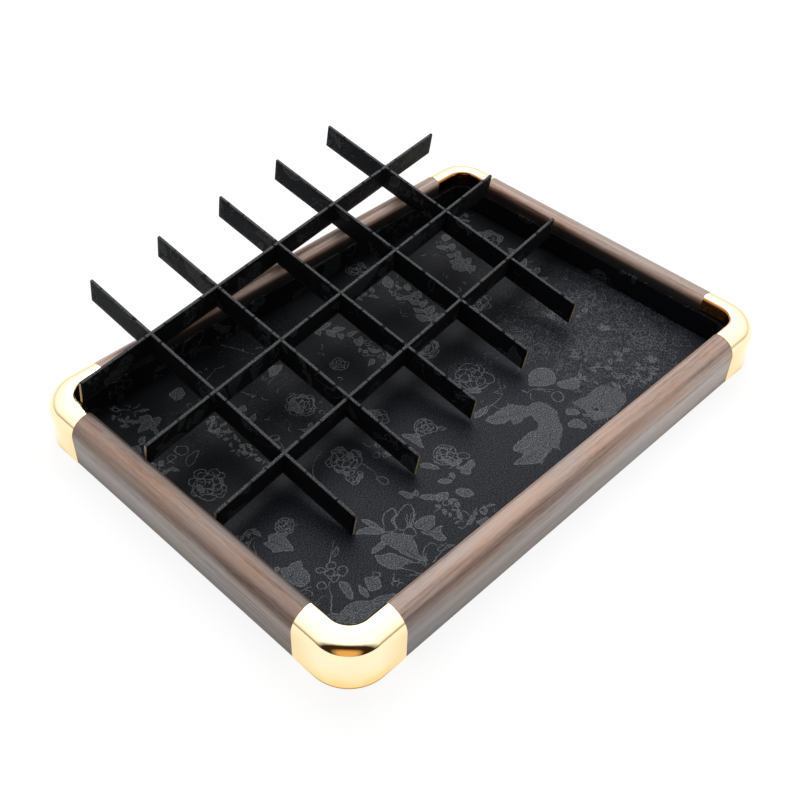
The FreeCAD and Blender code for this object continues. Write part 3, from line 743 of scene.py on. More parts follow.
def front_left_motifs():
    """Foliage and flowers on the floor in the front left quarter."""
    shape("-148.9,-43.6 -146.6,-44.6 -146.4,-47 -148.6,-46.6")
    shape("-146.1,-47.1 -142.3,-48.4 -139.2,-47.5 -135.4,-50 -137.9,-53.4 -137.3,-56.6 -141.1,-61.6 "
          "-146.1,-61.9 -148.7,-57.8 -148.9,-52.2")
    vein("-147,-54 -142,-52.5 -137.5,-50.6")
    vein("-147,-54 -144,-57.5 -141.6,-60.6")
    curls((-152, -68), 12, 14, 0, 8, seed=17)
    # leaf and small flowers above it
    shape("-142.3,-27.6 -139.2,-28.8 -136,-26.3 -132.9,-27.6 -131.6,-31.3 -132.6,-40.8 -134.4,-41.7 "
          "-137.3,-38.9 -141.1,-37 -141.7,-32")
    vein("-139,-30 -136.6,-34 -134,-40")
    shape("-132.9,-27.6 -128.5,-28.6 -127,-30.7 -129.7,-32.4 -132.4,-31.6")
    peony((-126, -26.5), 5.6, 10, rings=2, petals=6, filled=0.1, seed=18)
    stem("-127,-28 -123.5,-30 -120,-31.4", 0.6)
    stem("-149,-31.5 -147,-27 -144,-24", 0.6)
    stem("-150,-26 -146,-23 -142,-22", 0.6)
    crowd((-147, -18), 14, 12, 20, 3.0, seed=4, filled=0.5)
    # berries on their twig
    stem("-126.6,-61.4 -122.2,-57.8 -118.4,-54.7 -114.8,-52.2", 0.8)
    bud((-121.6, -60.2), 6.4, 3.0, 38)
    stem("-147.4,-84.9 -141.1,-78 -136.7,-71.7 -133.4,-68.6", 0.8)
    stem("-150.4,-74.6 -146,-73.6 -141.6,-75", 0.6)
    for spot, radius in (((-132.9, -61.2), 2.3), ((-130.7, -65), 2.6), ((-127, -62.4), 2.6),
                         ((-125.2, -69.2), 3.1), ((-130.6, -69.3), 2.3), ((-138.4, -68.6), 2.5)):
        ring(spot, radius)
    curls((-131, -66), 10, 10, 0, 4, seed=19)
    # leaves and a cup flower by the corner
    shape("-130.7,-72.3 -128.7,-75.5 -129.7,-80.5 -132.9,-85.6 -134.4,-83.1 -133.9,-76.7")
    vein("-131.2,-74.5 -131.8,-79 -132.9,-83.6", 0.4)
    shape("-126.2,-80.5 -124.7,-84.3 -125.3,-88.7 -127.8,-88.7 -127.8,-84.3")
    shape("-122.2,-81.2 -119.9,-79.9 -117.8,-81.8 -115.9,-83.1 -116.5,-88.1 -119,-90.6 -122.2,-88.7 "
          "-123.7,-85.6")
    vein("-119.6,-81 -119.4,-85 -119.2,-89.4", 0.4)
    ring((-115, -82.7), 2.0)
    shape("-152,-90.6 -148,-88.7 -143.6,-86.2 -137.3,-85.6 -132.9,-87.5 -128.5,-90.6 -122.2,-93.8 "
          "-116.5,-97.6 -124.7,-99.4 -137,-97.4 -148,-96.4")
    vein("-150,-93 -142,-90.6 -133,-91.6 -122,-96")
    leaf((-146, -99), 20, 6, 14)
    leaf((-151, -84), 9, 4, -38)
    crowd((-141, -93), 12, 6, 0, 2.8, seed=20, filled=0.6)
    lily()
    # column of small leaves and petals beside the lily
    shape("-67.3,-52.5 -64.2,-54.1 -63.5,-57.8 -66.7,-60.4 -67.9,-56.6")
    shape("-63.5,-57.4 -59.1,-56.8 -60.4,-60 -63,-60.6")
    shape("-62.9,-61.6 -59.1,-62.9 -55.3,-66.7 -51.5,-67.9 -49,-69.8 -51.5,-73 -56.6,-70.4 -60.4,-66.7")
    crowd((-57.5, -74), 10, 9, 0, 3.0, seed=11, filled=0.7)
    crowd((-54.5, -80.5), 11, 8, 0, 2.8, seed=12, filled=0.7)
    crowd((-55.5, -90), 11, 15, 0, 3.0, seed=13, filled=0.7)
    crowd((-46, -93), 12, 12, 0, 3.0, seed=14, filled=0.5)
    shape("-46.5,-61 -43.4,-61.6 -40.8,-65.4 -42.7,-67.6 -45.9,-64.6")
    shape("-46,-74 -42,-73 -38.6,-77 -40,-81 -44.4,-79.4")
    # cluster further right
    leaf((-45, -46), 11, 4.5, -62)
    peony((-30, -51.5), 8.2, 10, rings=2, petals=7, filled=0.1, seed=21)
    crowd((-33, -60), 13, 8, 20, 2.8, seed=22, filled=0.6)
    shape("-33,-65.4 -29.4,-64 -26,-63.3 -22,-63.9 -23.6,-67.9 -27,-68.2 -30.5,-70.4")
    shape("-26,-55.6 -22.4,-55.4 -19.6,-59.4 -22,-62 -25.4,-60", GROUND)
    # motifs between the strips
    shape("-35.6,-23.2 -31.8,-26.3 -30.5,-31.3 -32.4,-36.4 -34.3,-37.7 -35.6,-31.3 -36.5,-27.6")
    vein("-34.6,-26 -33.4,-31 -33.7,-36", 0.4)
    leaf((-31.6, -27.4), 6.5, 4, -50)
    peony((-22, -28), 7, 15, rings=2, petals=6, filled=0.0, seed=33)
    bud((-17.6, -33.4), 5, 3.6, -50)
    peony((-72, -14), 10, 0, rings=3, petals=7, filled=0.15, seed=31)
    peony((-77, -27), 5, 0, rings=1, petals=6, filled=0.4, seed=32)
    stem("-93,-16 -90,-9 -84,-4 -76,-1", 0.6)
    stem("-66.4,-24 -66.9,-30 -67.5,-36", 0.6)
    shape("-68.4,-36.2 -65.2,-37.6 -64.6,-40.4 -66.4,-43 -69.2,-43.2 -69.6,-39.8", GROUND)
    peony((-38, -3), 8, 0, rings=2, petals=6, filled=0.5, seed=34)
    crowd((-52, -20), 12, 14, 0, 3.4, seed=35, filled=0.3)


def front_right_motifs():
    """Foliage and flowers on the floor in the front right quarter."""
    # the crescent of joined leaves
    shape("6.7,-47.7 10.4,-48.4 15.5,-48.8 20.5,-48.4 25.6,-48.8 28.1,-45.9 26.8,-49.6 29.4,-54 32.5,-57.2 "
          "36.9,-57.8 41.3,-61.6 43,-66 41.3,-71.7 38.2,-76.7 33.8,-82.4 28.7,-86.8 22.4,-90 20.5,-90.6 "
          "18.3,-93.1 17.8,-88.7 15.5,-89.4 10.4,-90.6 3.5,-92.5 2.9,-90 -2.2,-88.1 -8.5,-81.5 -2.2,-82 "
          "2.2,-80.3 -0.3,-74.9 4.1,-73 10.4,-72 15.5,-72 21.8,-73.6 25.6,-71.7 26.8,-67.3 28.7,-64.1 "
          "24.3,-63.5 19.3,-63.5 15.5,-61 17.4,-57.8 13,-57.8 8.5,-54.7", edged=False)
    shape("6.7,-47.7 13,-48.6 18.6,-50.6 19.4,-55.4 14,-57.6 9,-54.8")
    shape("-8.5,-81.5 -1.5,-82 5,-80.4 12,-82.6 13.6,-88 8,-90.6 0,-89.2")
    shape("-0.3,-74.9 6,-72.8 14,-72.2 20,-74.4 15,-78 6,-78.4")
    vein("-6,-82.6 4,-84.6 16,-84.4 27,-80")
    vein("9,-50 16,-54 26,-58 34,-64 35,-72")
    leaf((3, -43.4), 14, 4, 8, bend=0.04)
    stem("2.9,-43.4 10.4,-44.2 16.7,-43.1 23,-42.7 28.7,-40.8 32.5,-37.7 35.7,-33.9 38.2,-31.1", 0.7)
    stem("19.3,-43.3 19.1,-46 19.6,-48.6", 0.6)
    stem("27.5,-36.4 31,-36.9 34.4,-35.8", 0.6)
    peony((27, -20), 12, 20, rings=2, petals=7, filled=0.05, seed=41)
    leaf((19.5, -26), 7, 4, -58)
    curls((24, -34), 22, 10, 0, 7, seed=40)
    # big leaf and its neighbours
    shape("47,-47.1 50.8,-44 55.8,-40.8 60.9,-40.2 64.7,-42.7 67.2,-47.7 64.7,-52.8 60.9,-56.6 57.1,-55.9 "
          "50.8,-51.5 47.6,-49")
    vein("50,-47.4 56,-48 63.6,-50")
    vein("55,-47.6 58,-44 61,-41.6", 0.4)
    stem("40.7,-46.5 42,-50.3 47,-51.5 52,-59.1", 0.7)
    stem("48.6,-52.6 52,-56 55.4,-59.6", 0.6)
    stem("42.6,-52.2 40,-54 38.2,-56.6", 0.6)
    ring((51.5, -65), 4.2)
    shape("43.9,-76.7 47,-75.5 50.8,-79.3 49.5,-83.1 45.8,-80.5")
    shape("36.3,-84.3 40.7,-82.4 45.8,-85.6 43.2,-93.1 39.4,-88.7")
    shape("52.7,-75.5 58.4,-74.2 64.7,-76.7 73.5,-75.5 79.8,-79 82,-88 77,-95.4 60.9,-96.7 50.8,-91.6 "
          "53.9,-83.1", edged=False)
    vein("53,-89 60,-85 69,-83 80,-80", 0.6)
    vein("58,-95.5 63,-89 66,-82 67,-76.5")
    vein("71,-95 73,-89 77,-85 81,-84")
    curls((66, -86), 24, 16, 0, 12, seed=44)
    crowd((54, -90), 10, 12, 60, 3.0, seed=43, filled=0.7)
    crowd((76, -66), 16, 10, 40, 3.2, seed=42, filled=0.4)
    shape("60,-58 66,-58.6 70.6,-63 68,-69 62.6,-67 59.4,-62.4")
    stem("64,-43 69,-48 73,-51 76,-46 79,-42", 0.5)
    # finer figures to the right
    for spot, radius, seed in (((103, -52), 10, 45), ((132, -70), 11, 48), ((76, -14), 9, 50),
                               ((134, -20), 10, 52), ((112, -16), 8, 55)):
        peony(spot, radius, seed * 9, rings=2, petals=7, filled=0.0, seed=seed, faint=True)
    spray("84,-62 92,-68 104,-70 116,-66", 6, 3, 7, seed=47)
    spray("104,-12 112,-18 118,-26 128,-30", 5, 2.6, 6, seed=53)
    crowd((110, -87), 26, 12, 10, 2.4, seed=49, filled=0.2)
    crowd((90, -84), 14, 14, 10, 2.6, seed=56, filled=0.2)
    crowd((90, -50), 12, 12, 80, 2.4, seed=57, filled=0.2)
    lobed_leaf((120, -48), 7, 60)
    curls((114, -52), 90, 88, 0, 150, seed=58, tone=SATIN)
    curls((96, -14), 100, 40, 0, 70, seed=59, tone=SATIN)


def back_left_motifs():
    """Foliage and flowers on the floor in the back left quarter."""
    leaf((-109, 86), 12, 9, 35)
    crowd((-136, 95), 20, 18, 30, 3.6, seed=61, filled=0.5)
    lobed_leaf((-128, 84), 12, 200, 5)
    peony((-136, 23), 11, 0, rings=3, petals=8, filled=0.2, seed=62)
    leaf((-136, 41), 13, 6, 20, tone=GROUND)
    ring((-131, 53), 4)
    crowd((-147, 50), 14, 18, 70, 3.4, seed=63, filled=0.5)
    # garland of small leaves along the cell
    crowd((-105.5, 37), 9, 52, 0, 2.5, seed=69, filled=0.55)
    leaf((-57, 64), 13, 7, 15)
    leaf((-88, 52), 7, 4, 40)
    leaf((-89, 43), 7, 4, 30)
    stem("-90,12 -89,17 -88,22", 0.6)
    ring((-88, 24), 2.6)
    stem("-59,106 -56,99 -54,93 -50,86", 0.6)
    stem("-87,86 -81,90 -75,92", 0.6)
    peony((-20, 44), 5.5, 10, rings=2, petals=5, filled=0.0, seed=70)
    spray("-10,80 -4,72 0,62 4,50", 8, 4.4, 7, seed=64)
    crowd((2, 40), 14, 22, 10, 3.4, seed=65, filled=0.6)
    lobed_leaf((6, 30), 11, -60, 3)
    peony((-60, 34), 10, 0, rings=3, petals=7, filled=0.2, seed=66)
    spray("-74,20 -66,14 -56,12 -46,16", 7, 3.6, 6, seed=67)
    spray("-150,74 -140,70 -128,72 -118,68", 7, 3.6, 6, seed=68)
    curls((-60, 60), 90, 80, 0, 40, seed=60)


def back_right_motifs():
    """Foliage and flowers on the floor in the back right quarter."""
    spray("48,30 52,42 58,54 60,68", 10, 5.5, 9, seed=71)
    crowd((55, 64), 14, 18, 0, 3.6, seed=72, filled=0.6)
    leaf((54, 74), 13, 7, 55)
    lobed_leaf((104, 58), 13, 50, 5)
    spray("102,48 108,60 112,74 118,90", 10, 5.5, 9, seed=73)
    peony((53, 103), 8, 0, rings=2, petals=7, filled=0.1, seed=74)
    peony((28, 18), 9, 20, rings=3, petals=7, filled=0.2, seed=75)
    peony((84, 26), 10, 0, rings=3, petals=8, filled=0.3, seed=76)
    spray("128,10 134,20 136,34 144,44", 9, 4.6, 8, seed=77)
    peony((138, 66), 11, 10, rings=3, petals=8, filled=0.3, seed=78)
    spray("20,88 30,84 38,78 46,80", 7, 3.6, 6, seed=79)
    crowd((146, 96), 20, 16, 20, 3.6, seed=80, filled=0.4)
    curls((90, 60), 100, 80, 0, 50, seed=81)


scrawled_ground()
front_left_motifs()
front_right_motifs()
back_left_motifs()
back_right_motifs()


# ---- cutting, weaving and laying a sheet ----

CLOTH_THICKNESS = 0.2 * MM
# Millimetres: the floor cloth's corner, the liner's top edge and its corner, the fold over an edge.
FLOOR_CORNER = 10.8
LINER_EDGE = 1.7
LINER_BEND = 9.2
FOLD_RADIUS = 0.45
FOLD_LENGTH = FOLD_RADIUS * math.pi / 2
FOLD_STEPS = 6
CORNER_STEPS = 10
# Millimetres between the points that let a sheet bend, and how uneven glued cloth is.
FLOOR_GRID = 4
FLOOR_MARGIN = 3
FACE_GRID = 2.5
LINER_GRID = 2.0
RIPPLE = 0.05
# A strip's worn and sheen patches, partly rubbed wear and partly a painted highlight along its top, in
# millimetres: how far they reach down its faces, their lengths, the gaps between them and how ragged
# they are.
WORN_SHEEN_REACH = 0.1
PATCH_LENGTH = (6, 26)
PATCH_GAP = (0.3, 3.0)
PATCH_RAGGED = 0.35
PATCH_STEPS = 8
# Heights this far from a strip's foot and top belong to its slots.
SLOT_MARGIN = 2
MERGE_DISTANCE = 1e-3


def rectangle(u0, u1, v0, v1):
    return [(u0, v0), (u1, v0), (u1, v1), (u0, v1)]


def rounded_rectangle(half_u, half_v, radius):
    outline = []
    for quarter, (su, sv) in enumerate(((1, 1), (-1, 1), (-1, -1), (1, -1))):
        for i in range(CORNER_STEPS + 1):
            a = math.pi / 2 * (quarter + i / CORNER_STEPS)
            outline.append((su * (half_u - radius) + radius * math.cos(a),
                            sv * (half_v - radius) + radius * math.sin(a)))
    return outline


def overlaps(outline, low, high):
    """Whether an outline's box reaches into the box from low to high."""
    us, vs = zip(*outline)
    return min(us) < high[0] and max(us) > low[0] and min(vs) < high[1] and max(vs) > low[1]


def woven_mesh(name, outline, holes, window, lines_u, lines_v, lay, worn_sheen=()):
    """Mesh of a cut sheet. Outline and holes are its flat cut, window is where the cut lies on the
    pattern, lines_u and lines_v are the flat grid that lets it bend, and lay(u, v) is the place of
    a flat point. Its edges follow the close lines of a fold: a face that cut across one would sink
    into the board. Worn_sheen is the patches that are lighter, partly rubbed grey and partly a painted
    highlight."""
    us, vs = zip(*outline)
    low, high = (min(us), min(vs)), (max(us), max(vs))
    shapes = [(GROUND, outline)] + [(GROUND, hole) for hole in holes]
    for tone, drawn in pattern:
        moved = [(u - window[0], v - window[1]) for u, v in drawn]
        if overlaps(moved, low, high):
            shapes.append((tone, moved))
    shapes += [(WORN_SHEEN, patch) for patch in worn_sheen]
    points, faces = [], []
    for _, drawn in shapes:
        faces.append(list(range(len(points), len(points) + len(drawn))))
        points += [Vector(p) for p in drawn]
    first, rows = len(points), len(lines_v)
    points += [Vector((u, v)) for u in lines_u for v in lines_v]
    bent = [j for j in range(1, rows) if lines_v[j] - lines_v[j - 1] < FOLD_RADIUS]
    creases = [(first + i * rows + j, first + (i + 1) * rows + j)
               for i in range(len(lines_u) - 1) for j in bent]
    flat, _, cells, _, _, sources = delaunay_2d_cdt(points, creases, faces, 1, MERGE_DISTANCE)
    cut, tones = [], []
    hole_numbers = set(range(1, len(holes) + 1))
    for cell, source in zip(cells, sources):
        if 0 in source and not hole_numbers & set(source):
            cut.append(cell)
            tones.append(shapes[max(source)][0])
    used = sorted({i for cell in cut for i in cell})
    number = {old: new for new, old in enumerate(used)}
    mesh = bpy.data.meshes.new(name)
    mesh.from_pydata([lay(*flat[i]) for i in used], [], [[number[i] for i in c] for c in cut])
    mesh.polygons.foreach_set("material_index", tones)
    mesh.polygons.foreach_set("use_smooth", [True] * len(cut))
    layer = mesh.uv_layers.new(name="cut")
    corners = [tuple(flat[i]) for cell in cut for i in cell]
    layer.uv.foreach_set("vector", np.array(corners, np.float32).ravel())
    # upright pieces take the darker copy with painted shade
    for material in LYING_WEAVE if name.startswith("floor") else UPRIGHT_SHADED_WEAVE:
        mesh.materials.append(material)
    return mesh


def lay_sheet(name, mesh, body, stands_for):
    """Adds a piece of brocade from its mesh, with the cloth's thickness behind its face."""
    piece = bpy.data.objects.new(name, mesh)
    bpy.context.scene.collection.objects.link(piece)
    thick = piece.modifiers.new("thickness", "SOLIDIFY")
    thick.thickness = CLOTH_THICKNESS
    thick.offset = -1
    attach(piece, body)
    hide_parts(stands_for)


def stations(start, end, step):
    """Even stations from start to end, about a step apart."""
    count = max(1, round((end - start) / step))
    return [start + (end - start) * i / count for i in range(count + 1)]


def ripple(u, v, seed):
    """Unevenness of glued cloth, in millimetres."""
    return RIPPLE * (0.5 * math.sin(0.21 * u + 0.13 * v + seed)
                     + 0.3 * math.sin(0.09 * u - 0.31 * v + 2 * seed)
                     + 0.2 * math.sin(0.47 * u + 0.39 * v + 3 * seed))


# ---- floor ----

def lay_floor():
    """Lays the floor's sheet, a rectangle with rounded corners."""
    _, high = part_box("floor_cloth")
    half_u, half_v = high.x / MM, high.y / MM
    outline = rounded_rectangle(half_u, half_v, FLOOR_CORNER)
    grid_u, grid_v = (stations(-half + FLOOR_MARGIN, half - FLOOR_MARGIN, FLOOR_GRID)
                      for half in (half_u, half_v))

    def lay(u, v):
        return Vector((u * MM, v * MM, high.z + ripple(u, v, 1.0) * MM))

    mesh = woven_mesh("floor_brocade", outline, [], (0, 0), grid_u, grid_v, lay)
    lay_sheet("floor_brocade", mesh, "tray", "floor_cloth")


# ---- covers of the liners ----

def fold_over(v, height):
    """Place in section of a flat point v up a face and over its top edge: how far behind the face
    and how high, for a face of that height."""
    rise = height - FOLD_RADIUS
    if v <= rise:
        return 0.0, v
    if v <= rise + FOLD_LENGTH:
        a = (v - rise) / FOLD_RADIUS
        return FOLD_RADIUS * (1 - math.cos(a)), rise + FOLD_RADIUS * math.sin(a)
    return FOLD_RADIUS + v - rise - FOLD_LENGTH, height


def fold_lines(height, depth):
    """Flat stations up a face and over an edge of that depth, close together where the cloth
    bends."""
    rise = height - FOLD_RADIUS
    return (stations(0, rise, FACE_GRID)
            + [rise + FOLD_LENGTH * i / FOLD_STEPS for i in range(1, FOLD_STEPS + 1)]
            + [rise + FOLD_LENGTH + depth - FOLD_RADIUS])


def straight_route(side, low, high):
    """Foot of a long side's liner in plan, in millimetres: its length, and a function that gives
    the place and inward direction at a distance along it."""
    inward = 1 if side == "front" else -1
    y = (high if inward > 0 else low).y / MM
    length = (high.x - low.x) / MM

    def along(s):
        return (-inward * (s - length / 2), y), (0, inward)
    return length, along


def bent_route(side, low, high):
    """The same for a short side's liner, which turns two corners of the tray."""
    inward = 1 if side == "left" else -1
    half = high.y / MM - LINER_EDGE
    x = (low if inward > 0 else high).x / MM + inward * LINER_EDGE
    reach = (high.x - low.x) / MM - LINER_EDGE
    arc = LINER_BEND * math.pi / 2
    arm = reach - LINER_BEND
    length = 2 * arm + 2 * arc + 2 * half - 2 * LINER_BEND

    def along(s):
        if s > length / 2:
            # the second half mirrors the first
            (foot_x, foot_y), (facing_x, facing_y) = along(length - s)
            return (foot_x, -foot_y), (facing_x, -facing_y)
        turn = min(max((s - arm) / LINER_BEND, 0), math.pi / 2)
        before, after = max(arm - s, 0), max(s - arm - arc, 0)
        place = (LINER_BEND * (1 - math.sin(turn)) + before,
                 half - LINER_BEND * (1 - math.cos(turn)) - after)
        return ((x + inward * place[0], inward * place[1]),
                (inward * math.sin(turn), -inward * math.cos(turn)))
    return length, along


def cover_liner(side, window):
    """Lays a liner's sheet up the wall inside the tray and over its top edge."""
    low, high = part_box(side + "_liner_cloth")
    height = (high.z - low.z) / MM
    route = straight_route if side in ("front", "back") else bent_route
    length, along = route(side, low, high)
    lines_v = fold_lines(height, LINER_EDGE)
    lines_u = stations(0, length, LINER_GRID)
    outline = rectangle(0, length, 0, lines_v[-1])
    seed = len(side)

    def lay(u, v):
        (x, y), (nx, ny) = along(u)
        back, up = fold_over(v, height)
        back -= ripple(u, v, seed)
        return Vector(((x - back * nx) * MM, (y - back * ny) * MM, low.z + up * MM))

    mesh = woven_mesh(side + "_liner_brocade", outline, [], window, lines_u, lines_v, lay)
    lay_sheet(side + "_liner_brocade", mesh, "tray", side + "_liner_cloth")


# ---- covers of the strips ----

def strip_axes(points, polygons):
    """Length, thickness and height directions of a strip: the normals of its ends, of its largest
    face and of its foot. Its longest edge tells which faces are its ends."""
    longest = max(((points[b] - points[a]) for p in polygons for a, b in p.edge_keys),
                  key=lambda edge: edge.length)
    if longest.x + longest.y < 0:
        longest = -longest
    length = max((p.normal for p in polygons), key=lambda normal: normal.dot(longest)).copy()
    thickness = max(polygons, key=lambda p: p.area).normal.copy()
    height = length.cross(thickness)
    if height.z < 0:
        height, thickness = -height, -thickness
    return length, thickness, height


def worn_sheen_patches(length, low, high, seed):
    """Long ragged patches along the top of a strip, lighter partly where its cloth has rubbed grey and
    partly as a painted highlight where the top catches the light.
    """
    draw = random.Random(seed)
    patches, start = [], 0.0
    while start < length:
        end = min(length, start + draw.uniform(*PATCH_LENGTH))
        steps = [start + (end - start) * i / PATCH_STEPS for i in range(PATCH_STEPS + 1)]
        lower = [(u, low + draw.uniform(0, PATCH_RAGGED)) for u in steps]
        upper = [(u, high - draw.uniform(0, PATCH_RAGGED)) for u in steps]
        patches.append(lower + upper[::-1])
        start = end + draw.uniform(*PATCH_GAP)
    return patches


def cover_strip(name, body, window):
    """Lays a strip's sheet up one face, over its top edge and down the other. Short strips have
    their slots in the top edge and long ones in the foot."""
    board = nodes[name + "_cloth"].data
    points = [v.co for v in board.vertices]
    x_way, y_way, z_way = strip_axes(points, board.polygons)
    local = np.array([(p.dot(x_way), p.dot(y_way), p.dot(z_way)) for p in points]) / MM
    low, high = local.min(0), local.max(0)
    length, thickness, height = high - low
    middle = (low + high) / 2
    origin = (x_way * middle[0] + y_way * middle[1] + z_way * low[2]) * MM
    in_slots = [(x, z) for x, _, z in local - low if SLOT_MARGIN < z < height - SLOT_MARGIN]
    slot_floor = sum(z for _, z in in_slots) / len(in_slots)
    edges = sorted({round(float(x), 2) for x, _ in in_slots})
    slots = list(zip(edges[::2], edges[1::2]))
    rise = height - FOLD_RADIUS
    across = 2 * rise + 2 * FOLD_LENGTH + (thickness - 2 * FOLD_RADIUS)
    side_lines = fold_lines(height, thickness / 2)[:-1]
    lines_v = sorted(side_lines + [across - v for v in side_lines])
    open_top = name.startswith("short")
    if open_top:
        holes = [rectangle(a, b, slot_floor, across - slot_floor) for a, b in slots]
    else:
        holes = [rectangle(a, b, *ends) for a, b in slots
                 for ends in ((-1, slot_floor), (across - slot_floor, across + 1))]
    lines_u = stations(0, length, FACE_GRID)
    outline = rectangle(0, length, 0, across)
    seed = sum(map(ord, name))

    def lay(u, v):
        near = v <= across / 2
        back, up = fold_over(v if near else across - v, height)
        y = -thickness / 2 + back - ripple(u, v, seed) * (back == 0)
        if not near:
            y = -y
        return origin + (x_way * (u - length / 2) + y_way * y + z_way * up) * MM

    # partly wear, partly a painted highlight along the strip's top
    worn_sheen = worn_sheen_patches(length, rise - WORN_SHEEN_REACH, across - rise + WORN_SHEEN_REACH, seed)
    mesh = woven_mesh(name + "_brocade", outline, holes, window, lines_u, lines_v, lay, worn_sheen)
    lay_sheet(name + "_brocade", mesh, body, name + "_cloth")


lay_floor()
cut = random.Random(7)
for side in ("front", "back", "left", "right"):
    cover_liner(side, (cut.uniform(-150, -130), cut.uniform(-90, 80)))
for i in range(1, 6):
    cover_strip("short_divider_%d" % i, "short_dividers",
                (cut.uniform(-155, -60), cut.uniform(-100, 65)))
for i in range(1, 4):
    cover_strip("long_divider_%d" % i, "long_divider_%d" % i,
                (cut.uniform(-158, -157), cut.uniform(-100, 65)))


# ---- camera, light and surroundings ----

CAMERA_PLACE = Vector((-0.3676, -0.32896, 0.46212))
CAMERA_AHEAD = Vector((0.52964, 0.49149, -0.69132))
CAMERA_UP = Vector((0.48202, 0.49624, 0.72209))
CAMERA_LENS = 51.7
SENSOR_WIDTH = 36.0
SOFT_BOX_PLACE = Vector((0.45, 0.45, 0.9))
SOFT_BOX_SIZE = 1.0
SOFT_BOX_RADIANCE = 3.0


def place_camera():
    data = bpy.data.cameras.new("camera")
    data.lens = CAMERA_LENS
    data.sensor_width = SENSOR_WIDTH
    camera = bpy.data.objects.new("camera", data)
    ahead = CAMERA_AHEAD.normalized()
    across = ahead.cross(CAMERA_UP).normalized()
    up = across.cross(ahead)
    turn = Matrix((across, up, -ahead)).transposed().to_4x4()
    camera.matrix_world = Matrix.Translation(CAMERA_PLACE) @ turn
    bpy.context.scene.collection.objects.link(camera)
    bpy.context.scene.camera = camera


TABLE_HALF = 4.0
TABLE_GLOW = 1.17
# How much of the table's glow each kind of ray sees.
TABLE_SHARES = {"Is Camera Ray": 0.75, "Is Glossy Ray": 0.835, "Is Transmission Ray": 0.835}
# Plain fill of the world for matt surfaces.
FILL = 0.37
WHITE = (1.0, 1.0, 1.0)
# Middle height, tallness and breadth of the tent's opening and of the light in the room beyond.
OPENING = (0.0, 0.86, 0.90)
ROOM_LIGHT = (0.22, 0.36, 0.52)


def cleared(thing):
    """The node tree of a material or world, emptied."""
    thing.use_nodes = True
    thing.node_tree.nodes.clear()
    return thing.node_tree


def give_out(tree, kind, shader):
    """Makes the shader node the tree's result."""
    tree.links.new(shader.outputs[0], add(tree, kind).inputs["Surface"])


def place_table():
    """White table under the tray: nearly white to the camera, and it keeps a soft shadow."""
    mesh = bpy.data.meshes.new("table")
    corners = rectangle(-TABLE_HALF, TABLE_HALF, -TABLE_HALF, TABLE_HALF)
    mesh.from_pydata([(x, y, 0) for x, y in corners], [], [(0, 1, 2, 3)])
    table = bpy.data.objects.new("table", mesh)
    bpy.context.scene.collection.objects.link(table)
    material = bpy.data.materials.new("table")
    tree = cleared(material)
    matt = add(tree, "ShaderNodeBsdfDiffuse", {"Color": (0.85, 0.85, 0.85, 1)})
    glow = add(tree, "ShaderNodeEmission", {"Color": (*WHITE, 1), "Strength": TABLE_GLOW})
    path = add(tree, "ShaderNodeLightPath").outputs
    seen = 0.0
    for kind, share in TABLE_SHARES.items():
        seen = total(product(path[kind], share), seen)
    give_out(tree, "ShaderNodeOutputMaterial", mixed_shader(seen, matt, glow))
    mesh.materials.append(material)


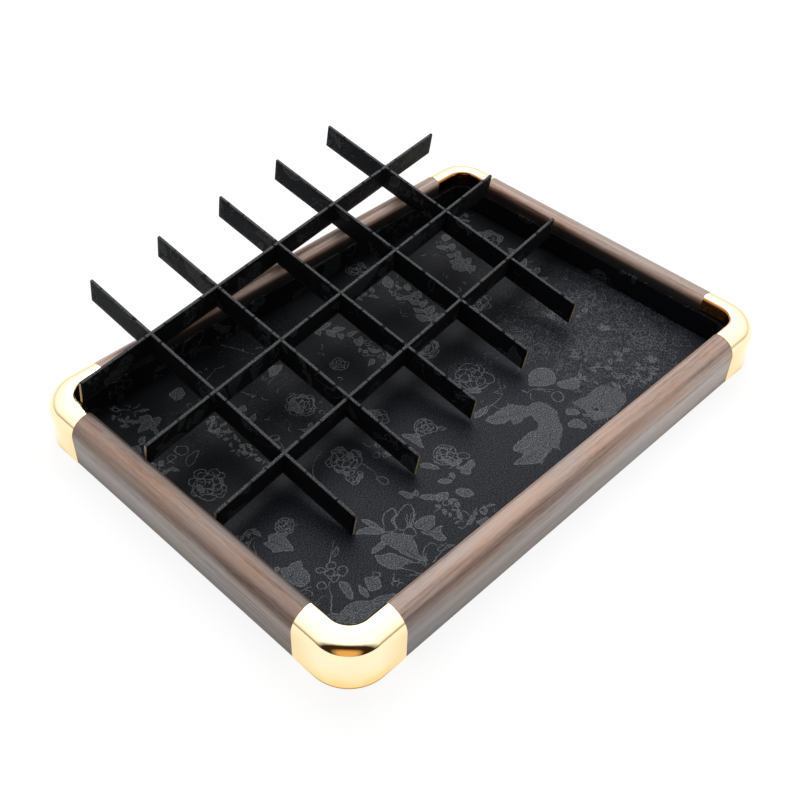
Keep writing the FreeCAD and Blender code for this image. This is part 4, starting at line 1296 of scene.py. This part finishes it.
def light_tent():
    """World: white to the camera, a plain fill for matt surfaces, and for gloss a white tent with a
    thin dark horizon and a dark opening on the camera's side."""
    world = bpy.data.worlds.new("tent")
    bpy.context.scene.world = world
    tree = cleared(world)
    way = add(tree, "ShaderNodeTexCoord").outputs["Generated"]
    height = part(way, "Z")
    ahead = Vector((-CAMERA_PLACE.x, -CAMERA_PLACE.y, 0)).normalized()
    across = Vector((-ahead.y, ahead.x, 0))
    sideways, forwards = (
        add(tree, "ShaderNodeVectorMath", {0: way, 1: axis}, operation="DOT_PRODUCT").outputs["Value"]
        for axis in (across, ahead))

    def oval(middle, tallness, breadth):
        """0 at the middle of an oval patch of the walls, 1 at its rim."""
        broad = calculate("DIVIDE", sideways, breadth)
        tall = calculate("DIVIDE", calculate("SUBTRACT", height, middle), tallness)
        return total(calculate("POWER", broad, 2.0), calculate("POWER", tall, 2.0))

    behind = spread(forwards, 0.0, 1.0, -0.05, 0.05)
    opening = calculate("MAXIMUM", spread(oval(*OPENING), 0.0, 1.0, 0.8, 1.05), behind)
    # the walls are darker and warmer at their foot, most of all on the camera's side
    foot = calculate("MAXIMUM", spread(height, 0.0, 1.0, 0.07, 0.17),
                     spread(forwards, 0.0, 0.85, -0.5, 0.4))
    shade = ramp(foot, [(0.0, (0.42, 0.24, 0.10)), (1.0, WHITE)])
    roof = spread(height, 0.95, 1.6, 0.15, 0.75)
    walls = add(tree, "ShaderNodeBackground", {"Color": shade, "Strength": roof})
    # a dim warm room is seen through the opening
    lit = spread(oval(*ROOM_LIGHT), 0.85, 0.035, 0.3, 1.1)
    room = add(tree, "ShaderNodeBackground", {"Color": (1.0, 0.52, 0.18, 1.0), "Strength": lit})
    inside = mixed_shader(opening, room, walls)
    path = add(tree, "ShaderNodeLightPath").outputs
    fill = add(tree, "ShaderNodeBackground", {"Strength": FILL})
    outside = add(tree, "ShaderNodeBackground", {"Strength": 1.0})
    for_gloss = mixed_shader(path["Is Glossy Ray"], fill, inside)
    give_out(tree, "ShaderNodeOutputWorld",
             mixed_shader(path["Is Camera Ray"], for_gloss, outside))


def soft_box():
    """Square area lamp turned to the tray."""
    data = bpy.data.lights.new("soft_box", "AREA")
    data.shape = "RECTANGLE"
    data.size = data.size_y = SOFT_BOX_SIZE
    data.energy = SOFT_BOX_RADIANCE * math.pi * SOFT_BOX_SIZE ** 2
    lamp = bpy.data.objects.new("soft_box", data)
    lamp.location = SOFT_BOX_PLACE
    lamp.rotation_euler = (-SOFT_BOX_PLACE).to_track_quat("-Z", "Y").to_euler()
    bpy.context.scene.collection.objects.link(lamp)


place_camera()
place_table()
light_tent()
soft_box()
bpy.context.scene.view_settings.view_transform = "Standard"
